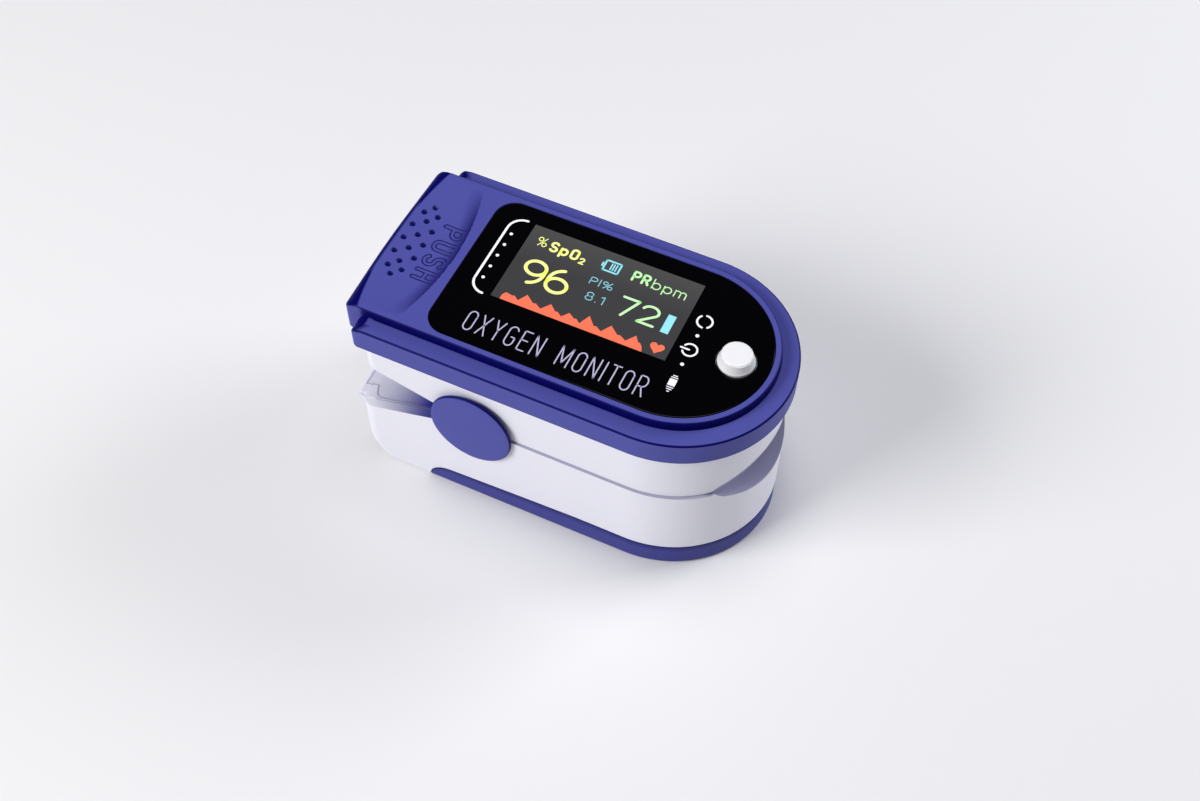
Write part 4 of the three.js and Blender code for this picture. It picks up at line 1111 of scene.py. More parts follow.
@dataclass
class PowerButton:
    """The white key: a turned cap with a rounded shoulder and a hidden collar."""

    shoulder: float = 0.18
    segments: int = 96

    def build(self) -> bpy.types.Object:
        """Turn the profile about the key's own vertical axis."""
        low, high = node_box("power_button")
        centre = (low[:2] + high[:2]) / 2
        collar, cap = (high[0] - low[0]) / 2, 2.5
        top, s = high[2], self.shoulder
        curve = np.radians(np.linspace(0, 90, 7))
        face, waist = 2.03, low[2] + 0.55 * (top - low[2])
        profile = [(0.02, low[2]), (collar, low[2]), (collar, low[2] + 0.45)]
        profile += [(cap, low[2] + 0.45), (cap, waist)]
        profile += [(cap - 0.12, waist + 0.16), (face + s * 0.4, top - s)]
        profile += [(face - s * (1 - math.cos(a)), top - s + s * math.sin(a)) for a in curve]
        profile += [(face * 0.5, top), (0.02, top)]
        turn = np.linspace(0, 2 * np.pi, self.segments, endpoint=False)
        circle = np.column_stack([np.cos(turn), np.sin(turn)])
        rings = [at_height(centre + circle * r, z) for r, z in profile]
        piece = Piece("key_cap").add(*capped_shell(rings))
        return piece.finish(KEYCAP, Body.BUTTON, "button", "power_button")


@dataclass
class ShellBand:
    """A white wall that follows the plan outline between a level edge and a shaped edge."""

    wall: float = 1.3
    edge_r: float = 0.04

    def rings(
        self, outline: PlanOutline, cut: Sampling, level: float, edge: Callable[[Array], Array]
    ) -> list[Array]:
        """Closed profile round the outline, from the level edge to the shaped edge and back inside.

        Args:
            outline: the outer outline.
            cut: how finely to cut it.
            level: height of the level edge.
            edge: height of the shaped edge at plan points.

        Returns:
            The rings, in order round the profile.
        """
        outer, inner = outline.points(cut), outline.inset(self.wall).points(cut)
        soft_out = outline.inset(self.edge_r).points(cut)
        soft_in = outline.inset(self.wall - self.edge_r).points(cut)
        side = np.sign(level - edge(outer).mean())
        rings = [at_height(soft_out, level), at_height(outer, level - side * self.edge_r)]
        for share in (0.25, 0.5, 0.75):
            rings.append(at_height(outer, level + (edge(outer) - level) * share))
        rings.append(at_height(outer, edge(outer) + side * (self.edge_r + 0.10)))
        rings.append(at_height(outer, edge(outer) + side * self.edge_r))
        between = outline.inset(self.edge_r * 0.3).points(cut)
        rings.append(at_height(between, edge(outer) + side * self.edge_r * 0.3))
        rings.append(at_height(soft_out, edge(soft_out)))
        rings.append(at_height(soft_in, edge(soft_in)))
        rings.append(at_height(inner, edge(inner) + side * self.edge_r))
        rings.append(at_height(inner, level))
        return rings


def side_cuts(outline: PlanOutline, spans: Sequence[tuple[float, float, int]]) -> tuple[float, ...]:
    """Shares along a side, from END_X to the back corner, that cut the given X spans evenly."""
    places = np.concatenate([np.linspace(a, b, n, endpoint=False) for a, b, n in spans])
    shares = (places - END_X) / (outline.back + outline.corner - END_X)
    return tuple(np.unique(shares[(shares > 0.001) & (shares < 0.999)]))


@dataclass
class UpperHousing:
    """The upper white band."""

    corner: float = 1.8

    def build_band(self) -> bpy.types.Object:
        """The band hangs from the cover; its lower edge runs along the parting, the gap and the mouth."""
        low, high = node_box("upper_housing")
        outline = outline_of("upper_housing", self.corner)
        spans = [(END_X, -8.5, 30), (-8.5, -10.5, 10), (-10.5, outline.back, 24)]
        cut = Sampling(front=193, sides=side_cuts(outline, spans))
        edge = lambda p: sloped_edge(p, low[2], UPPER_SLOPE, UPPER_ARC_Z, True)
        rings = ShellBand().rings(outline, cut, high[2], edge)
        # Painted shade along the parting line, on the band's lower edge.
        shade = np.zeros((len(rings), len(rings[0])))
        shade[7:9] = PARTING_PAINTED_SHADE * parting_share(rings[6])
        piece = Piece("upper_band").add(*torus_shell(rings), shade)
        return piece.finish(WHITE, Body.UPPER, "white_shell", "upper_housing")


def box_shell(
    low: Sequence[float], high: Sequence[float], soft: float
) -> tuple[Array, list[Sequence[int]]]:
    """A block with rounded upright corners and soft top and bottom edges, as rings from bottom to top."""
    low_, high_ = np.array(low, float), np.array(high, float)
    middle, half = (low_ + high_) / 2, (high_ - low_) / 2
    profile = [(soft, low_[2]), (soft * 0.3, low_[2] + soft * 0.3), (0, low_[2] + soft)]
    profile += [(0, high_[2] - soft), (soft * 0.3, high_[2] - soft * 0.3), (soft, high_[2])]
    rings = []
    for inset, z in profile:
        c = max(soft - inset, 0.01)
        hx, hy = half[0] - inset - c, half[1] - inset - c
        parts = [
            arc(middle[0] + sx * hx, middle[1] + sy * hy, c, c, a, a + 90, 6)
            for sx, sy, a in ((1, 1, 0), (-1, 1, 90), (-1, -1, 180), (1, -1, 270))
        ]
        rings.append(at_height(np.concatenate(parts), z))
    return capped_shell(rings)


@dataclass
class FingerTray:
    """One half of the finger channel: trough, stop wall, hinge lugs and rear deck."""

    upper: bool
    thickness: float = 1.6
    web: float = 1.2
    stop_x: float = -2.4
    lug_r: float = 3.2
    lip_half: float = 12.95
    lip_bulge: float = 0.6
    lip_bend: float = 0.91
    plate_top: float = 13.4

    def __post_init__(self) -> None:
        """Read the tray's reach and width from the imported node."""
        self.node = "upper_finger_tray" if self.upper else "lower_finger_tray"
        self.low, self.high = node_box(self.node)
        self.arc_z = UPPER_ARC_Z if self.upper else LOWER_ARC_Z
        self.half = self.high[1]
        self.edge_z = PIVOT[2] + (0.15 if self.upper else -0.15)

    def _reach(self, y: Array, half: float, reach: float) -> Array:
        """X of a rounded finger end with the given semi-axes."""
        return END_X + reach * np.sqrt(np.clip(1 - (y / half) ** 2, 0, 1))

    def _trough(self, piece: Piece) -> None:
        """The curved plate with level shelves beside it, whose thin rim runs out over the housing's wall.

        Rows run along X to just inside the wall; two more carry the rim out to the wall's outer face
        wherever the channel dips past the parting.
        """
        sign = 1 if self.upper else -1
        w = self.half - 0.05
        y = np.linspace(-w, w, 161)
        depth = channel_depth(y, self.arc_z, self.edge_z, self.upper)
        housing_high = node_box("upper_housing" if self.upper else "lower_housing")[1]
        inner = self._reach(y, self.half + 0.12, self.high[0] - END_X) - 0.02
        outer = self._reach(y, housing_high[1], housing_high[0] - END_X) - 0.02
        outer = inner + 0.02 + (outer - inner - 0.02) * np.clip(depth / 0.15, 0, 1)
        start = self.stop_x - self.web
        rows = [start + (inner - start) * share for share in np.linspace(0, 1, 30)] + [inner + 0.01, outer]
        x = np.stack(rows)
        face = self.edge_z + sign * np.broadcast_to(depth, x.shape)
        thick = np.full(x.shape, self.thickness)
        thick[-2:] = (RIM - 0.02) * rim_share(depth) + 0.01
        level_y = np.broadcast_to(y, x.shape)
        top = np.stack([x, level_y, face], -1)
        bottom = np.stack([x, level_y, face + sign * thick], -1)
        # Painted shade in the trough, growing further in from the mouth; the level shelves take a lighter
        # painted shade.
        inwards = np.clip((inner - x) / 16.0, 0, 1)
        shade = np.where(depth > 0, 0.52 + 0.38 * inwards, 0.3)
        piece.add(*sheet_shell(top, bottom), np.tile(shade.ravel(), 2))

    def _lugs(self, piece: Piece) -> None:
        """Two ears on each side round the shaft, as rings along Y."""
        inner, outer = (10.4, 11.6) if self.upper else (11.9, 13.1)
        root = self.high[2] - 0.6 if self.upper else self.plate_top + 0.3
        sign = 1 if self.upper else -1
        first, last = (0, -180) if self.upper else (180, 0)
        around = arc(0, 0, self.lug_r, self.lug_r, first, last, 33)
        around = around if self.upper else around * np.array([1, -1])
        foot = root - PIVOT[2]
        section = np.concatenate([around, [[-sign * self.lug_r, foot], [sign * self.lug_r, foot]]])
        for side in (-1, 1):
            rings = []
            for inset, y in ((0.15, inner), (0, inner + 0.15), (0, outer - 0.15), (0.15, outer)):
                scale = 1 - inset / self.lug_r
                x, z = (section * scale).T
                rings.append(np.column_stack([PIVOT[0] + x, np.full(len(x), side * y), PIVOT[2] + z]))
            piece.add(*capped_shell(rings))

    def _deck_path(self) -> Array:
        """Side view of the rear deck's outer face, from the hinge to its end."""
        if self.upper:
            x = np.linspace(-13.0, self.low[0], 40)
            return np.column_stack([x, PIVOT[2] + (PIVOT[0] - x) * UPPER_SLOPE + 0.35])
        r = self.lip_bend
        x = np.linspace(-13.0, self.low[0] + 0.01 + 0.69 * r, 170)
        slope = np.column_stack([x, PIVOT[2] - (PIVOT[0] - x) * LOWER_SLOPE + DECK_LIFT])
        centre = slope[-1] + np.array([0.309 * r, -0.951 * r])
        bend = arc(centre[0], centre[1], r, r, 108, 180, 8)[1:]
        drop = np.column_stack([np.full(6, self.low[0] + 0.01), np.linspace(bend[-1, 1], self.low[2], 7)[1:]])
        return np.concatenate([slope, bend, drop])

    def _deck(self, piece: Piece) -> None:
        """The deck follows its side view; the lower one narrows to a lip with a swollen end.

        A panel is sunk into the lower deck, its outline stepping in where the lip begins. Painted shade
        darkens the deck towards the hinge and traces the panel's outline.
        """
        path = self._deck_path()
        along = np.gradient(path, axis=0)
        along /= np.linalg.norm(along, axis=1)[:, None]
        normal = np.column_stack([-along[:, 1], along[:, 0]])
        normal *= np.where(normal[:1, 1] > 0, 1.0, -1.0) * (1 if self.upper else -1)
        half = np.full(len(path), self.half + (-0.05 if self.upper else 0.12))
        if not self.upper:
            half = np.where(path[:, 0] < -27.95, self.lip_half, half)
        y = half[:, None] * np.linspace(-1, 1, 201)[None]
        x = np.broadcast_to(path[:, :1], y.shape).copy()
        z = np.broadcast_to(path[:, 1:], y.shape).copy()
        step = normal * self.web
        x_under, z_under = x + step[:, :1], z + step[:, 1:]
        # Painted shade: darker towards the hinge, and along the sunk panel's outline.
        shade = gap_painted_shade(x)
        if not self.upper:
            for side in (x, x_under):
                side += self.lip_bulge * smooth_step((-26.5 - side) / 2.6) * (y / self.lip_half) ** 2
            panel = smooth_step((11.4 - np.abs(y)) / 0.26 + 0.5) * smooth_step((x + 28.7) / 0.26 + 0.5)
            step_x = -26.65 + 0.42 * (np.abs(y) - 11.3) + 1.6 * np.clip(np.abs(y) - 12.8, 0, None) ** 2
            wide = smooth_step((13.45 - np.abs(y)) / 0.26 + 0.5) * smooth_step((x - step_x) / 0.26 + 0.5)
            mask = np.maximum(panel, wide)
            z -= 0.12 * mask
            shade = np.maximum(shade, 1.5 * mask * (1 - mask)) + 0.06 * mask
        piece.add(*sheet_shell(np.stack([x, y, z], -1), np.stack([x_under, y, z_under], -1)), shade)

    def _walls(self, piece: Piece) -> None:
        """Stop wall, hinge plate and the web between it and the deck."""
        w = self.half - 0.06
        x1 = self.stop_x
        if self.upper:
            piece.add(*box_shell((x1 - 1.2, -w, self.edge_z), (x1, w, 22.9), 0.15))
            piece.add(*box_shell((-14.2, -w, 21.7), (x1 - 1.2, w, 22.9), 0.15))
            piece.add(*box_shell((-14.2, -w, 18.95), (-13.0, w, 21.8), 0.15))
        else:
            piece.add(*box_shell((x1 - 1.2, -w, 12.4), (x1, w, self.edge_z), 0.15))
            piece.add(*box_shell((-14.2, -w, 12.4), (x1 - 1.2, w, 13.4), 0.15))
            piece.add(*box_shell((-14.2, -w, 12.4), (-13.0, w, 16.2), 0.15))

    def build(self) -> bpy.types.Object:
        """Make and dress the tray."""
        piece = Piece("upper_channel" if self.upper else "lower_channel")
        self._trough(piece)
        self._walls(piece)
        self._deck(piece)
        self._lugs(piece)
        body = Body.UPPER if self.upper else Body.LOWER
        return piece.finish(TRAY_WHITE, body, "white_shell", self.node)


@dataclass
class FingerPad:
    """A silicone pad that lines one trough, with a rounded border and a hole for the optics."""

    upper: bool
    corner: float = 4.0
    edge_r: float = 0.35
    proud: float = 0.35
    count: int = 160

    def _rounded(self, x0: float, x1: float, half: float, corner: float) -> Array:
        """Rounded rectangle with the same share of points on each stretch."""
        corner = max(corner, 0.2)
        n = self.count // 8
        middle = (x0 + x1) / 2
        right = arc(x1 - corner, half - corner, corner, corner, 0, 90, n)
        top = np.column_stack([np.linspace(x1 - corner, x0 + corner, n + 2)[1:-1], np.full(n, half)])
        left = arc(x0 + corner, half - corner, corner, corner, 90, 180, n)
        down = np.column_stack([np.full(n, x0), np.linspace(half - corner, -half + corner, n + 2)[1:-1]])
        first = np.concatenate([right, top, left, down])
        turned = np.column_stack([2 * middle - first[:, 0], -first[:, 1]])
        return np.concatenate([first, turned])

    def build(self) -> bpy.types.Object:
        """Rings from the border to the hole over the face, down the hole, and back behind."""
        node = "upper_finger_pad" if self.upper else "lower_finger_pad"
        low, high = node_box(node)
        arc_z = UPPER_ARC_Z if self.upper else LOWER_ARC_Z
        sign = 1 if self.upper else -1
        hole = (4.6, 9.6, 2.1)
        face_r, back_r = CHANNEL_R - self.proud, CHANNEL_R + 0.05

        def lay(outline: Array, radius: float) -> Array:
            """Project plan points onto a cylinder about the channel's axis."""
            return at_height(outline, arc_z + sign * np.sqrt(radius**2 - outline[:, 1] ** 2))

        rings = [lay(self._rounded(low[0], high[0], high[1], self.corner), back_r)]
        for angle in np.radians(np.linspace(0, 90, 6)):
            inset = self.edge_r * (1 - math.cos(angle))
            radius = face_r + self.edge_r * (1 - math.sin(angle))
            shape = self._rounded(low[0] + inset, high[0] - inset, high[1] - inset, self.corner - inset)
            rings.append(lay(shape, radius))
        r = self.edge_r
        outer = self._rounded(low[0] + r, high[0] - r, high[1] - r, self.corner - r)
        inner = self._rounded(hole[0], hole[1], hole[2], 0.6)
        for share in np.linspace(0, 1, 40)[1:]:
            shape = outer + (inner - outer) * share
            ripple = 0.05 * np.cos(shape[:, 0] * 2 * np.pi / 1.6) * math.sin(math.pi * share) ** 2
            rings.append(lay(shape, face_r - ripple))
        rings.append(lay(inner, back_r))
        piece = Piece("upper_soft_pad" if self.upper else "lower_soft_pad").add(*torus_shell(rings))
        body = Body.UPPER if self.upper else Body.LOWER
        thing = piece.finish(SILICONE, body, "silicone", node)
        return thing


# ---------------------------------------------------------------- lower half


DOOR_START_X = -17.2


def door_line(x: Array, grow: float = 0.0) -> Array:
    """Height of the battery door's upper edge: a quarter ellipse at its start, then a slow rise."""
    share = np.clip((x + 13.4) / (3.8 + grow), -1, 0)
    start = (3.3 + grow) * np.sqrt(1 - share**2)
    later = np.interp(x, [-13.4, -3.0, 6.0, 40.0], [3.3, 3.85, 4.25, 4.25]) + grow
    return np.where(x < -13.4, start, later)


@dataclass
class LowerHousing:
    """The lower white tub: wall, rounded tail and floor behind the battery door."""

    corner: float = 2.4
    wall: float = 1.3
    tail_r: float = 4.5
    foot_r: float = 0.45
    edge_r: float = 0.04

    def __post_init__(self) -> None:
        """Read the tub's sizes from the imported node."""
        self.low, self.high = node_box("lower_housing")
        self.outline = outline_of("lower_housing", self.corner)

    def _back_at(self, z: Array, inset: float) -> Array:
        """How far the back wall has drawn in at each height, along the tail's round."""
        r = self.tail_r - inset
        drop = np.clip(self.tail_r - z, 0, r)
        return r - np.sqrt(r**2 - drop**2)

    def _ring(self, cut: Sampling, inset: float, z: Array) -> Array:
        """The outline at an inset and heights, its back drawn in along the tail's round."""
        points = self.outline.inset(inset).points(cut)
        shift = self._back_at(np.broadcast_to(z, len(points)), inset)
        tail = self.outline.back + self.tail_r + 2.0
        share = np.clip((tail - points[:, 0]) / (tail - self.outline.back - inset), 0, 1)
        return np.column_stack([points[:, 0] + shift * share, points[:, 1], np.broadcast_to(z, len(points))])

    def _upper_edge(self, points: Array) -> Array:
        """Parting, gap slope and finger mouth, lowered where the deck's lip passes over the back."""
        edge = sloped_edge(points, self.high[2], LOWER_SLOPE, LOWER_ARC_Z, False)
        seat = (points[:, 0] < -26.4) & (np.abs(points[:, 1]) < 12.7)
        return edge - np.where(seat, 0.95, 0.0)

    def _lower_edge(self, points: Array) -> Array:
        """The door's edge with a small gap, or the table behind the door."""
        open_side = points[:, 0] > DOOR_START_X - 0.1
        return np.where(open_side, door_line(points[:, 0], 0.1), 0.0)

    def build(self) -> bpy.types.Object:
        """The wall as a closed profile round the outline, and the floor plate inside its tail."""
        spans = [(END_X, -8.5, 24), (-8.5, -13.2, 14), (-13.2, -17.45, 70), (-17.45, self.outline.back, 30)]
        near_corner, far_corner = np.linspace(-1, -0.975, 4), np.linspace(0.975, 1, 4)
        back = np.concatenate([near_corner, np.linspace(-0.97, 0.97, 50), far_corner])
        cut = Sampling(front=193, sides=side_cuts(self.outline, spans), back=tuple(back[1:-1]))
        outer = self.outline.points(cut)
        top, bottom = self._upper_edge(outer), self._lower_edge(outer)
        soft = self.edge_r
        foot = np.where(bottom < 0.01, self.foot_r, 0.02)
        rings = [self._ring(cut, soft, top), self._ring(cut, 0.3 * soft, top - 0.3 * soft)]
        rings += [self._ring(cut, 0.0, top - soft), self._ring(cut, 0.0, top - soft - 0.10)]
        for share in np.linspace(0, 1, 16)[1:]:
            drop = (bottom + foot - top + soft + 0.10) * share
            rings.append(self._ring(cut, 0.0, top - soft - 0.10 + drop))
        for angle in np.radians(np.linspace(0, 90, 6))[1:]:
            rings.append(self._foot_ring(cut, foot, bottom, angle))
        inner_low = np.maximum(bottom, 0.0)
        rings.append(self._ring(cut, self.wall, inner_low))
        for share in (0.15, 0.3, 0.6):
            rings.append(self._ring(cut, self.wall, inner_low + (top - inner_low) * share))
        rings.append(self._ring(cut, self.wall, self._upper_edge(self.outline.inset(self.wall).points(cut))))
        # Painted shade in the rear gap along the top edge, and along the parting line.
        shade = np.zeros((len(rings), len(outer)))
        in_gap = outer[:, 0] < PIVOT[0]
        dark = np.where(in_gap, gap_painted_shade(outer[:, 0]), 0.0)
        shade[:2] = np.maximum(dark, PARTING_PAINTED_SHADE * parting_share(rings[0]))
        shade[2] = shade[-1] = dark
        piece = Piece("lower_band").add(*torus_shell(rings), shade)
        tail_x = self.outline.back + self.tail_r + 0.8
        w = self.outline.half - self.wall + 0.05
        piece.add(*box_shell((tail_x - 0.6, -w, 0.0), (DOOR_START_X - 0.1, w, 1.3), 0.05))
        return piece.finish(WHITE, Body.LOWER, "white_shell", "lower_housing")

    def _foot_ring(self, cut: Sampling, foot: Array, bottom: Array, angle: float) -> Array:
        """One ring of the rounded edge between the wall and the underside."""
        base = self._ring(cut, 0.0, bottom + foot * (1 - math.sin(angle)))
        inner = self._ring(cut, self.wall, bottom)
        inward = inner[:, :2] - base[:, :2]
        inward /= np.linalg.norm(inward, axis=1)[:, None]
        base[:, :2] += inward * (foot * (1 - math.cos(angle)))[:, None]
        return base


@dataclass
class BatteryDoor:
    """The blue sliding door: a shallow tray with a rounded foot and grip grooves underneath."""

    wall: float = 1.3
    floor: float = 1.2
    foot_r: float = 0.5
    grip_x: tuple[float, float] = (13.0, 21.9)
    grip_half: float = 6.0
    grip_pitch: float = 2.0
    grip_depth: float = 0.4

    def _outline(self, inset: float, cut: Sampling) -> Array:
        """The door's plan: the rounded finger end, straight sides, and a square start."""
        points = PlanOutline(self.half, self.reach, DOOR_START_X, 0.25).inset(inset).points(cut)
        points[:, 0] = np.maximum(points[:, 0], DOOR_START_X)
        return points

    def build(self) -> bpy.types.Object:
        """Rings from the middle of the inside, up the wall, over its edge, down and under to the middle."""
        high = node_box("battery_door")[1]
        self.half, self.reach = high[1], high[0] - END_X
        shape = PlanOutline(self.half, self.reach, DOOR_START_X, 0.25)
        spans = [(END_X, -8.5, 30), (-8.5, -13.2, 16), (-13.2, DOOR_START_X, 70)]
        cut = Sampling(front=181, sides=side_cuts(shape, spans), back=tuple(np.linspace(-1, 1, 61)[1:-1]))
        outer, inner = self._outline(0.0, cut), self._outline(self.wall, cut)
        middle = np.array([(self.grip_x[0] + self.grip_x[1]) / 2, 0.0])
        edge = door_line(outer[:, 0])
        at_start = outer[:, 0] < DOOR_START_X + 0.02
        edge = np.where(at_start, 0.02, edge)
        rings = []
        for share in (0.01, 0.3, 0.6, 0.85, 1.0):
            flat = middle + (inner - middle) * share
            rings.append(at_height(flat, np.minimum(self.floor, door_line(flat[:, 0]) * 0.98)))
        inner_edge = door_line(inner[:, 0])
        by_start = inner[:, 0] < DOOR_START_X + self.wall + 0.02
        inner_edge = np.where(by_start, np.minimum(self.floor, inner_edge), inner_edge)
        rings.append(at_height(inner, inner_edge))
        rings.append(at_height(outer + (inner - outer) * 0.12, edge))
        rim = np.maximum(edge - 0.15, 0.0)
        rings.append(at_height(outer, rim))
        foot = np.minimum(self.foot_r, rim)
        rings += [at_height(outer, foot + (rim - foot) * s) for s in (0.66, 0.33, 0.0)]
        inward = (inner - outer) / np.maximum(np.linalg.norm(inner - outer, axis=1), 1e-6)[:, None]
        for angle in np.radians(np.linspace(0, 90, 6))[1:]:
            shift = (foot * (1 - math.cos(angle)))[:, None]
            rings.append(at_height(outer + inward * shift, foot * (1 - math.sin(angle))))
        under = rings[-1][:, :2]
        for share in np.linspace(1, 0.004, 150)[1:]:
            flat = middle + (under - middle) * share
            rings.append(at_height(flat, self._grip(flat)))
        # Painted shade: a light one over the door's wall and a darker one along its top rim.
        shade = np.full((len(rings), len(outer)), 0.0)
        shade[5:14] = 0.30
        shade[6:8] = 0.75
        piece = Piece("door_tray").add(*capped_shell(rings), shade)
        return piece.finish(BLUE, Body.DOOR, "blue_shell", "battery_door")

    def _grip(self, flat: Array) -> Array:
        """Depth of the grip grooves: half-round waves across the thumb's place."""
        x, y = flat.T
        wave = np.clip(np.sin((x - self.grip_x[0] + 0.5) * 2 * np.pi / self.grip_pitch), 0, 1)
        inside = (x > self.grip_x[0] - 0.5) & (x < self.grip_x[1])
        ends = np.sqrt(np.clip(1 - (np.abs(y) / self.grip_half) ** 6, 0, 1))
        return self.grip_depth * wave * inside * ends


@dataclass
class HingeCap:
    """An oval cap over the end of the shaft, with a rolled edge, a domed face and its stub."""

    side: int
    edge_r: float = 0.20
    dome: float = 0.10
    segments: int = 128

    def build(self) -> bpy.types.Object:
        """Ellipses from the back to the middle of the face, and a round stub behind."""
        node = "hinge_cap_left" if self.side > 0 else "hinge_cap_right"
        low, high = node_box(node)
        centre = ((low[0] + high[0]) / 2, (low[2] + high[2]) / 2)
        rx, rz = (high[0] - low[0]) / 2, (high[2] - low[2]) / 2
        face = max(abs(low[1]), abs(high[1]))
        back = 15.25
        profile = [(0.35, back), (0.0, back + 0.12)]
        rim = face - self.dome - self.edge_r
        rim = max(rim, back + 0.12)
        height = face - self.dome - rim
        curve = np.radians(np.linspace(0, 80, 7))
        profile += [(self.edge_r * (1 - math.cos(a)), rim + height * math.sin(a)) for a in curve]
        for share in np.linspace(0, 1, 14)[1:]:
            inset = self.edge_r + (rx - self.edge_r - 0.02) * share
            crown = self.dome * (1 - (1 - share) ** 2)
            profile.append((inset, face - self.dome + crown))
        turn = np.linspace(0, 2 * np.pi, self.segments, endpoint=False)
        rings = []
        for inset, y in profile:
            share = inset / rx
            x = centre[0] + (rx * (1 - share)) * np.cos(turn)
            z = centre[1] + (rz * (1 - share) if inset > self.edge_r else rz - inset) * np.sin(turn)
            rings.append(np.column_stack([x, np.full(self.segments, self.side * y), z]))
        # Painted shade on the cap's rolled side wall.
        dark = [0.95 if inset < self.edge_r * 0.6 else 0.0 for inset, _ in profile]
        rim_painted_shade = np.repeat(dark, self.segments)
        piece = Piece("oval_cap_left" if self.side > 0 else "oval_cap_right")
        piece.add(*capped_shell(rings), rim_painted_shade)
        stub = []
        for r, y in ((1.8, 13.25), (2.0, 13.45), (2.0, back + 0.1)):
            x, z = PIVOT[0] + r * np.cos(turn), PIVOT[2] + r * np.sin(turn)
            stub.append(np.column_stack([x, np.full(self.segments, self.side * y), z]))
        piece.add(*capped_shell(stub))
        return piece.finish(BLUE, Body.LOWER, "blue_shell", node)


@dataclass
class BatteryCell:
    """An AAA cell: sleeve, crimped shoulders and the raised terminal."""

    node: str
    nub_forward: bool
    segments: int = 72

    def build(self) -> bpy.types.Object:
        """Turn the cell's profile about its own axis along X."""
        low, high = node_box(self.node)
        r = (high[2] - low[2]) / 2
        length = high[0] - low[0]
        profile = [(0.02, 0.0), (r - 1.4, 0.0), (r - 1.2, 0.25), (r - 0.5, 0.25), (r - 0.1, 0.55), (r, 0.9)]
        profile += [(r, length - 2.2), (r - 0.15, length - 1.6)]
        profile += [(r - 0.6, length - 1.15), (r - 1.3, length - 1.0)]
        profile += [(1.95, length - 1.0), (1.9, length - 0.2), (1.6, length), (0.02, length)]
        turn = np.linspace(0, 2 * np.pi, self.segments, endpoint=False)
        y = (low[1] + high[1]) / 2 + np.outer([p[0] for p in profile], np.cos(turn))
        z = (low[2] + high[2]) / 2 + np.outer([p[0] for p in profile], np.sin(turn))
        reach = np.array([p[1] for p in profile])
        x = low[0] + reach if self.nub_forward else high[0] - reach
        rings = [np.column_stack([np.full(self.segments, x[i]), y[i], z[i]]) for i in range(len(profile))]
        name = "cell_left" if self.node == "battery_left" else "cell_right"
        return Piece(name).add(*capped_shell(rings)).finish(CELL_CAN, Body.LOWER, "cell_can", self.node)


@dataclass
class FlexCable:
    """The ribbon that crosses the hinge, bending between the two halves."""

    width: float = 2.6
    thick: float = 0.16

    def build(self) -> bpy.types.Object:
        """A thin sheet along a smooth path from the sensor board up to the main board."""
        low, high = node_box("flex_cable")
        flat = np.column_stack([np.linspace(high[0], low[0] + 1.2, 24), np.full(24, low[2] + 0.1)])
        bend = arc(low[0] + 1.2, low[2] + 1.2, 1.1, 1.1, 270, 180, 10)
        rise = np.column_stack([np.full(60, low[0] + 0.1), np.linspace(low[2] + 1.3, high[2], 60)])
        path = np.concatenate([flat, bend, rise])
        y = np.linspace(-self.width / 2, self.width / 2, 5)
        along = np.gradient(path, axis=0)
        along /= np.linalg.norm(along, axis=1)[:, None]
        normal = np.column_stack([-along[:, 1], along[:, 0]]) * self.thick / 2
        sides = []
        for sign in (1, -1):
            p = path + sign * normal
            x, z = np.repeat(p[:, :1], len(y), 1), np.repeat(p[:, 1:], len(y), 1)
            sides.append(np.stack([x, np.tile(y, (len(p), 1)), z], -1))
        piece = Piece("bending_ribbon").add(*sheet_shell(*sides))
        thing = piece.finish(POLYIMIDE, Body.LOWER, "ribbon", "flex_cable")
        thing.parent = None
        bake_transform(thing)
        return thing


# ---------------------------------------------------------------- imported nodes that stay


NODE_FINISHES: dict[str, Finish] = {
    "display_gasket": FOAM,
    "display_module": EPOXY,
    "display_ribbon": POLYIMIDE,
    "display_connector": NYLON,
    "flex_connector": NYLON,
    "main_board": BOARD,
    "emitter_board": BOARD,
    "sensor_board": BOARD,
    "microcontroller": EPOXY,
    "analog_chip": EPOXY,
    "tact_switch": EPOXY,
    "board_header": EPOXY,
    "crystal": STEEL,
    "switch_plunger": BROWN_NYLON,
    "emitter_window": LENS,
    "sensor_window": LENS,
    "red_led": RED_DIE,
    "infrared_led": DARK_DIE,
    "photodiode": DARK_DIE,
    "contact_plate": STEEL,
    "contact_bridge": STEEL,
    "contact_spring_front": STEEL,
    "contact_spring_rear": STEEL,
    "hinge_shaft": STEEL,
    "torsion_spring_left": STEEL,
    "torsion_spring_right": STEEL,
}


def dress_nodes() -> None:
    """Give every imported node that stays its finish."""
    for name, thing in frame["nodes"].items():
        finish = STEEL if "screw" in name else NODE_FINISHES.get(name)
        if finish is None:
            continue
        for slot in thing.material_slots:
            slot.material = finish.build()
        LOG.info("%s: finished as %s", name, finish.name)


# ---------------------------------------------------------------- studio


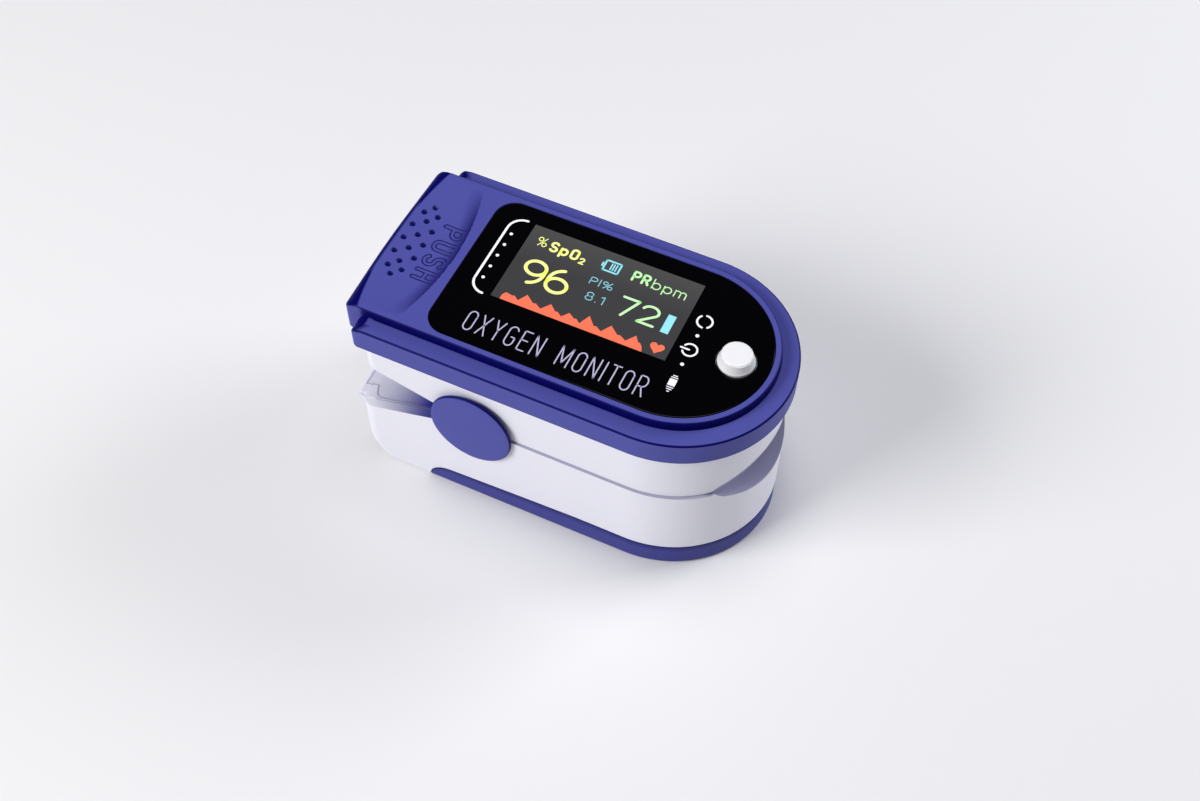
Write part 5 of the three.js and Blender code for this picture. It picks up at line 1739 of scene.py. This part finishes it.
@dataclass
class Studio:
    """A pale floor, soft lights and the camera."""

    azimuth: float = 23.958
    elevation: float = 55.264
    roll: float = 1.136
    lens: float = 46.9
    eye: tuple[float, float, float] = (54.12, -115.61, 193.77)
    floor_half: float = 3.0
    floor_z: float = -0.00002
    sky: tuple[float, float, float, float] = (0.80, 0.81, 1.0, 1)
    sky_strength: float = 0.12

    def make_floor(self) -> None:
        """A plain plane just under the object."""
        half, z = self.floor_half, self.floor_z
        mesh = bpy.data.meshes.new("floor")
        corners = [(-half, -half, z), (half, -half, z), (half, half, z), (-half, half, z)]
        mesh.from_pydata(corners, [], [(0, 1, 2, 3)])
        thing = bpy.data.objects.new("floor", mesh)
        bpy.context.scene.collection.objects.link(thing)
        paint = Finish("studio_floor", (0.86, 0.86, 0.865), (0.865, 0.865, 0.87), 0.7, 0.02, 300.0, 0.0)
        mesh.materials.append(paint.build())

    def add_light(
        self, name: str, place: tuple[float, float, float], size: float, power: float,
        color: tuple[float, float, float],
    ) -> None:
        """A square soft light at a place in metres, aimed at the object's middle."""
        data = bpy.data.lights.new(name, "AREA")
        data.size = size
        data.energy = power
        data.color = color
        lamp = bpy.data.objects.new(name, data)
        lamp.location = place
        aim = Vector((0, 0, 0.016)) - Vector(place)
        lamp.rotation_euler = aim.to_track_quat("-Z", "Y").to_euler()
        bpy.context.scene.collection.objects.link(lamp)

    def make_world(self) -> None:
        """A pale, even surround."""
        world = bpy.data.worlds.new("surround")
        world.use_nodes = True
        surround = world.node_tree.nodes["Background"]
        surround.inputs[0].default_value = self.sky
        surround.inputs[1].default_value = self.sky_strength
        bpy.context.scene.world = world

    def make_camera(self) -> None:
        """Camera at a measured eye point, turned by azimuth, elevation and a slight roll."""
        a, e, r = (math.radians(v) for v in (self.azimuth, self.elevation, self.roll))
        back = Vector((math.sin(a) * math.cos(e), -math.cos(a) * math.cos(e), math.sin(e)))
        right = Vector((math.cos(a), math.sin(a), 0))
        up = back.cross(right)
        level = math.cos(r) * right + math.sin(r) * up
        head = -math.sin(r) * right + math.cos(r) * up
        data = bpy.data.cameras.new("camera")
        data.sensor_width = 36.0
        data.lens = self.lens
        data.clip_start, data.clip_end = 0.01, 20.0
        camera = bpy.data.objects.new("camera", data)
        turn = Matrix((level, head, back)).transposed().to_4x4()
        camera.matrix_world = Matrix.Translation(Vector(self.eye) * MM) @ turn
        bpy.context.scene.collection.objects.link(camera)
        bpy.context.scene.camera = camera

    def build(self) -> None:
        """Set up the whole studio."""
        self.make_floor()
        self.make_world()
        self.make_camera()
        self.add_light("key", (-0.38, -0.42, 0.40), 0.34, 3.9, (1.0, 0.99, 0.98))
        self.add_light("side", (0.36, 0.38, 0.28), 0.26, 1.7, (0.96, 0.97, 1.0))
        self.add_light("top", (0.00, 0.06, 0.62), 0.30, 1.1, (0.98, 0.98, 1.0))
        bpy.context.scene.view_settings.view_transform = "Standard"


def main() -> None:
    """Build the studio, the two halves, the button and the door."""
    logging.basicConfig(level=logging.INFO, format="%(message)s")
    Studio().build()
    TopCover().build()
    DisplayWindow().build()
    WindowPrint().build()
    PowerButton().build()
    UpperHousing().build_band()
    FingerTray(upper=True).build()
    FingerTray(upper=False).build()
    FingerPad(upper=True).build()
    FingerPad(upper=False).build()
    LowerHousing().build()
    BatteryDoor().build()
    HingeCap(side=1).build()
    HingeCap(side=-1).build()
    BatteryCell("battery_left", True).build()
    BatteryCell("battery_right", False).build()
    FlexCable().build()
    dress_nodes()


if __name__ == "__main__":
    main()
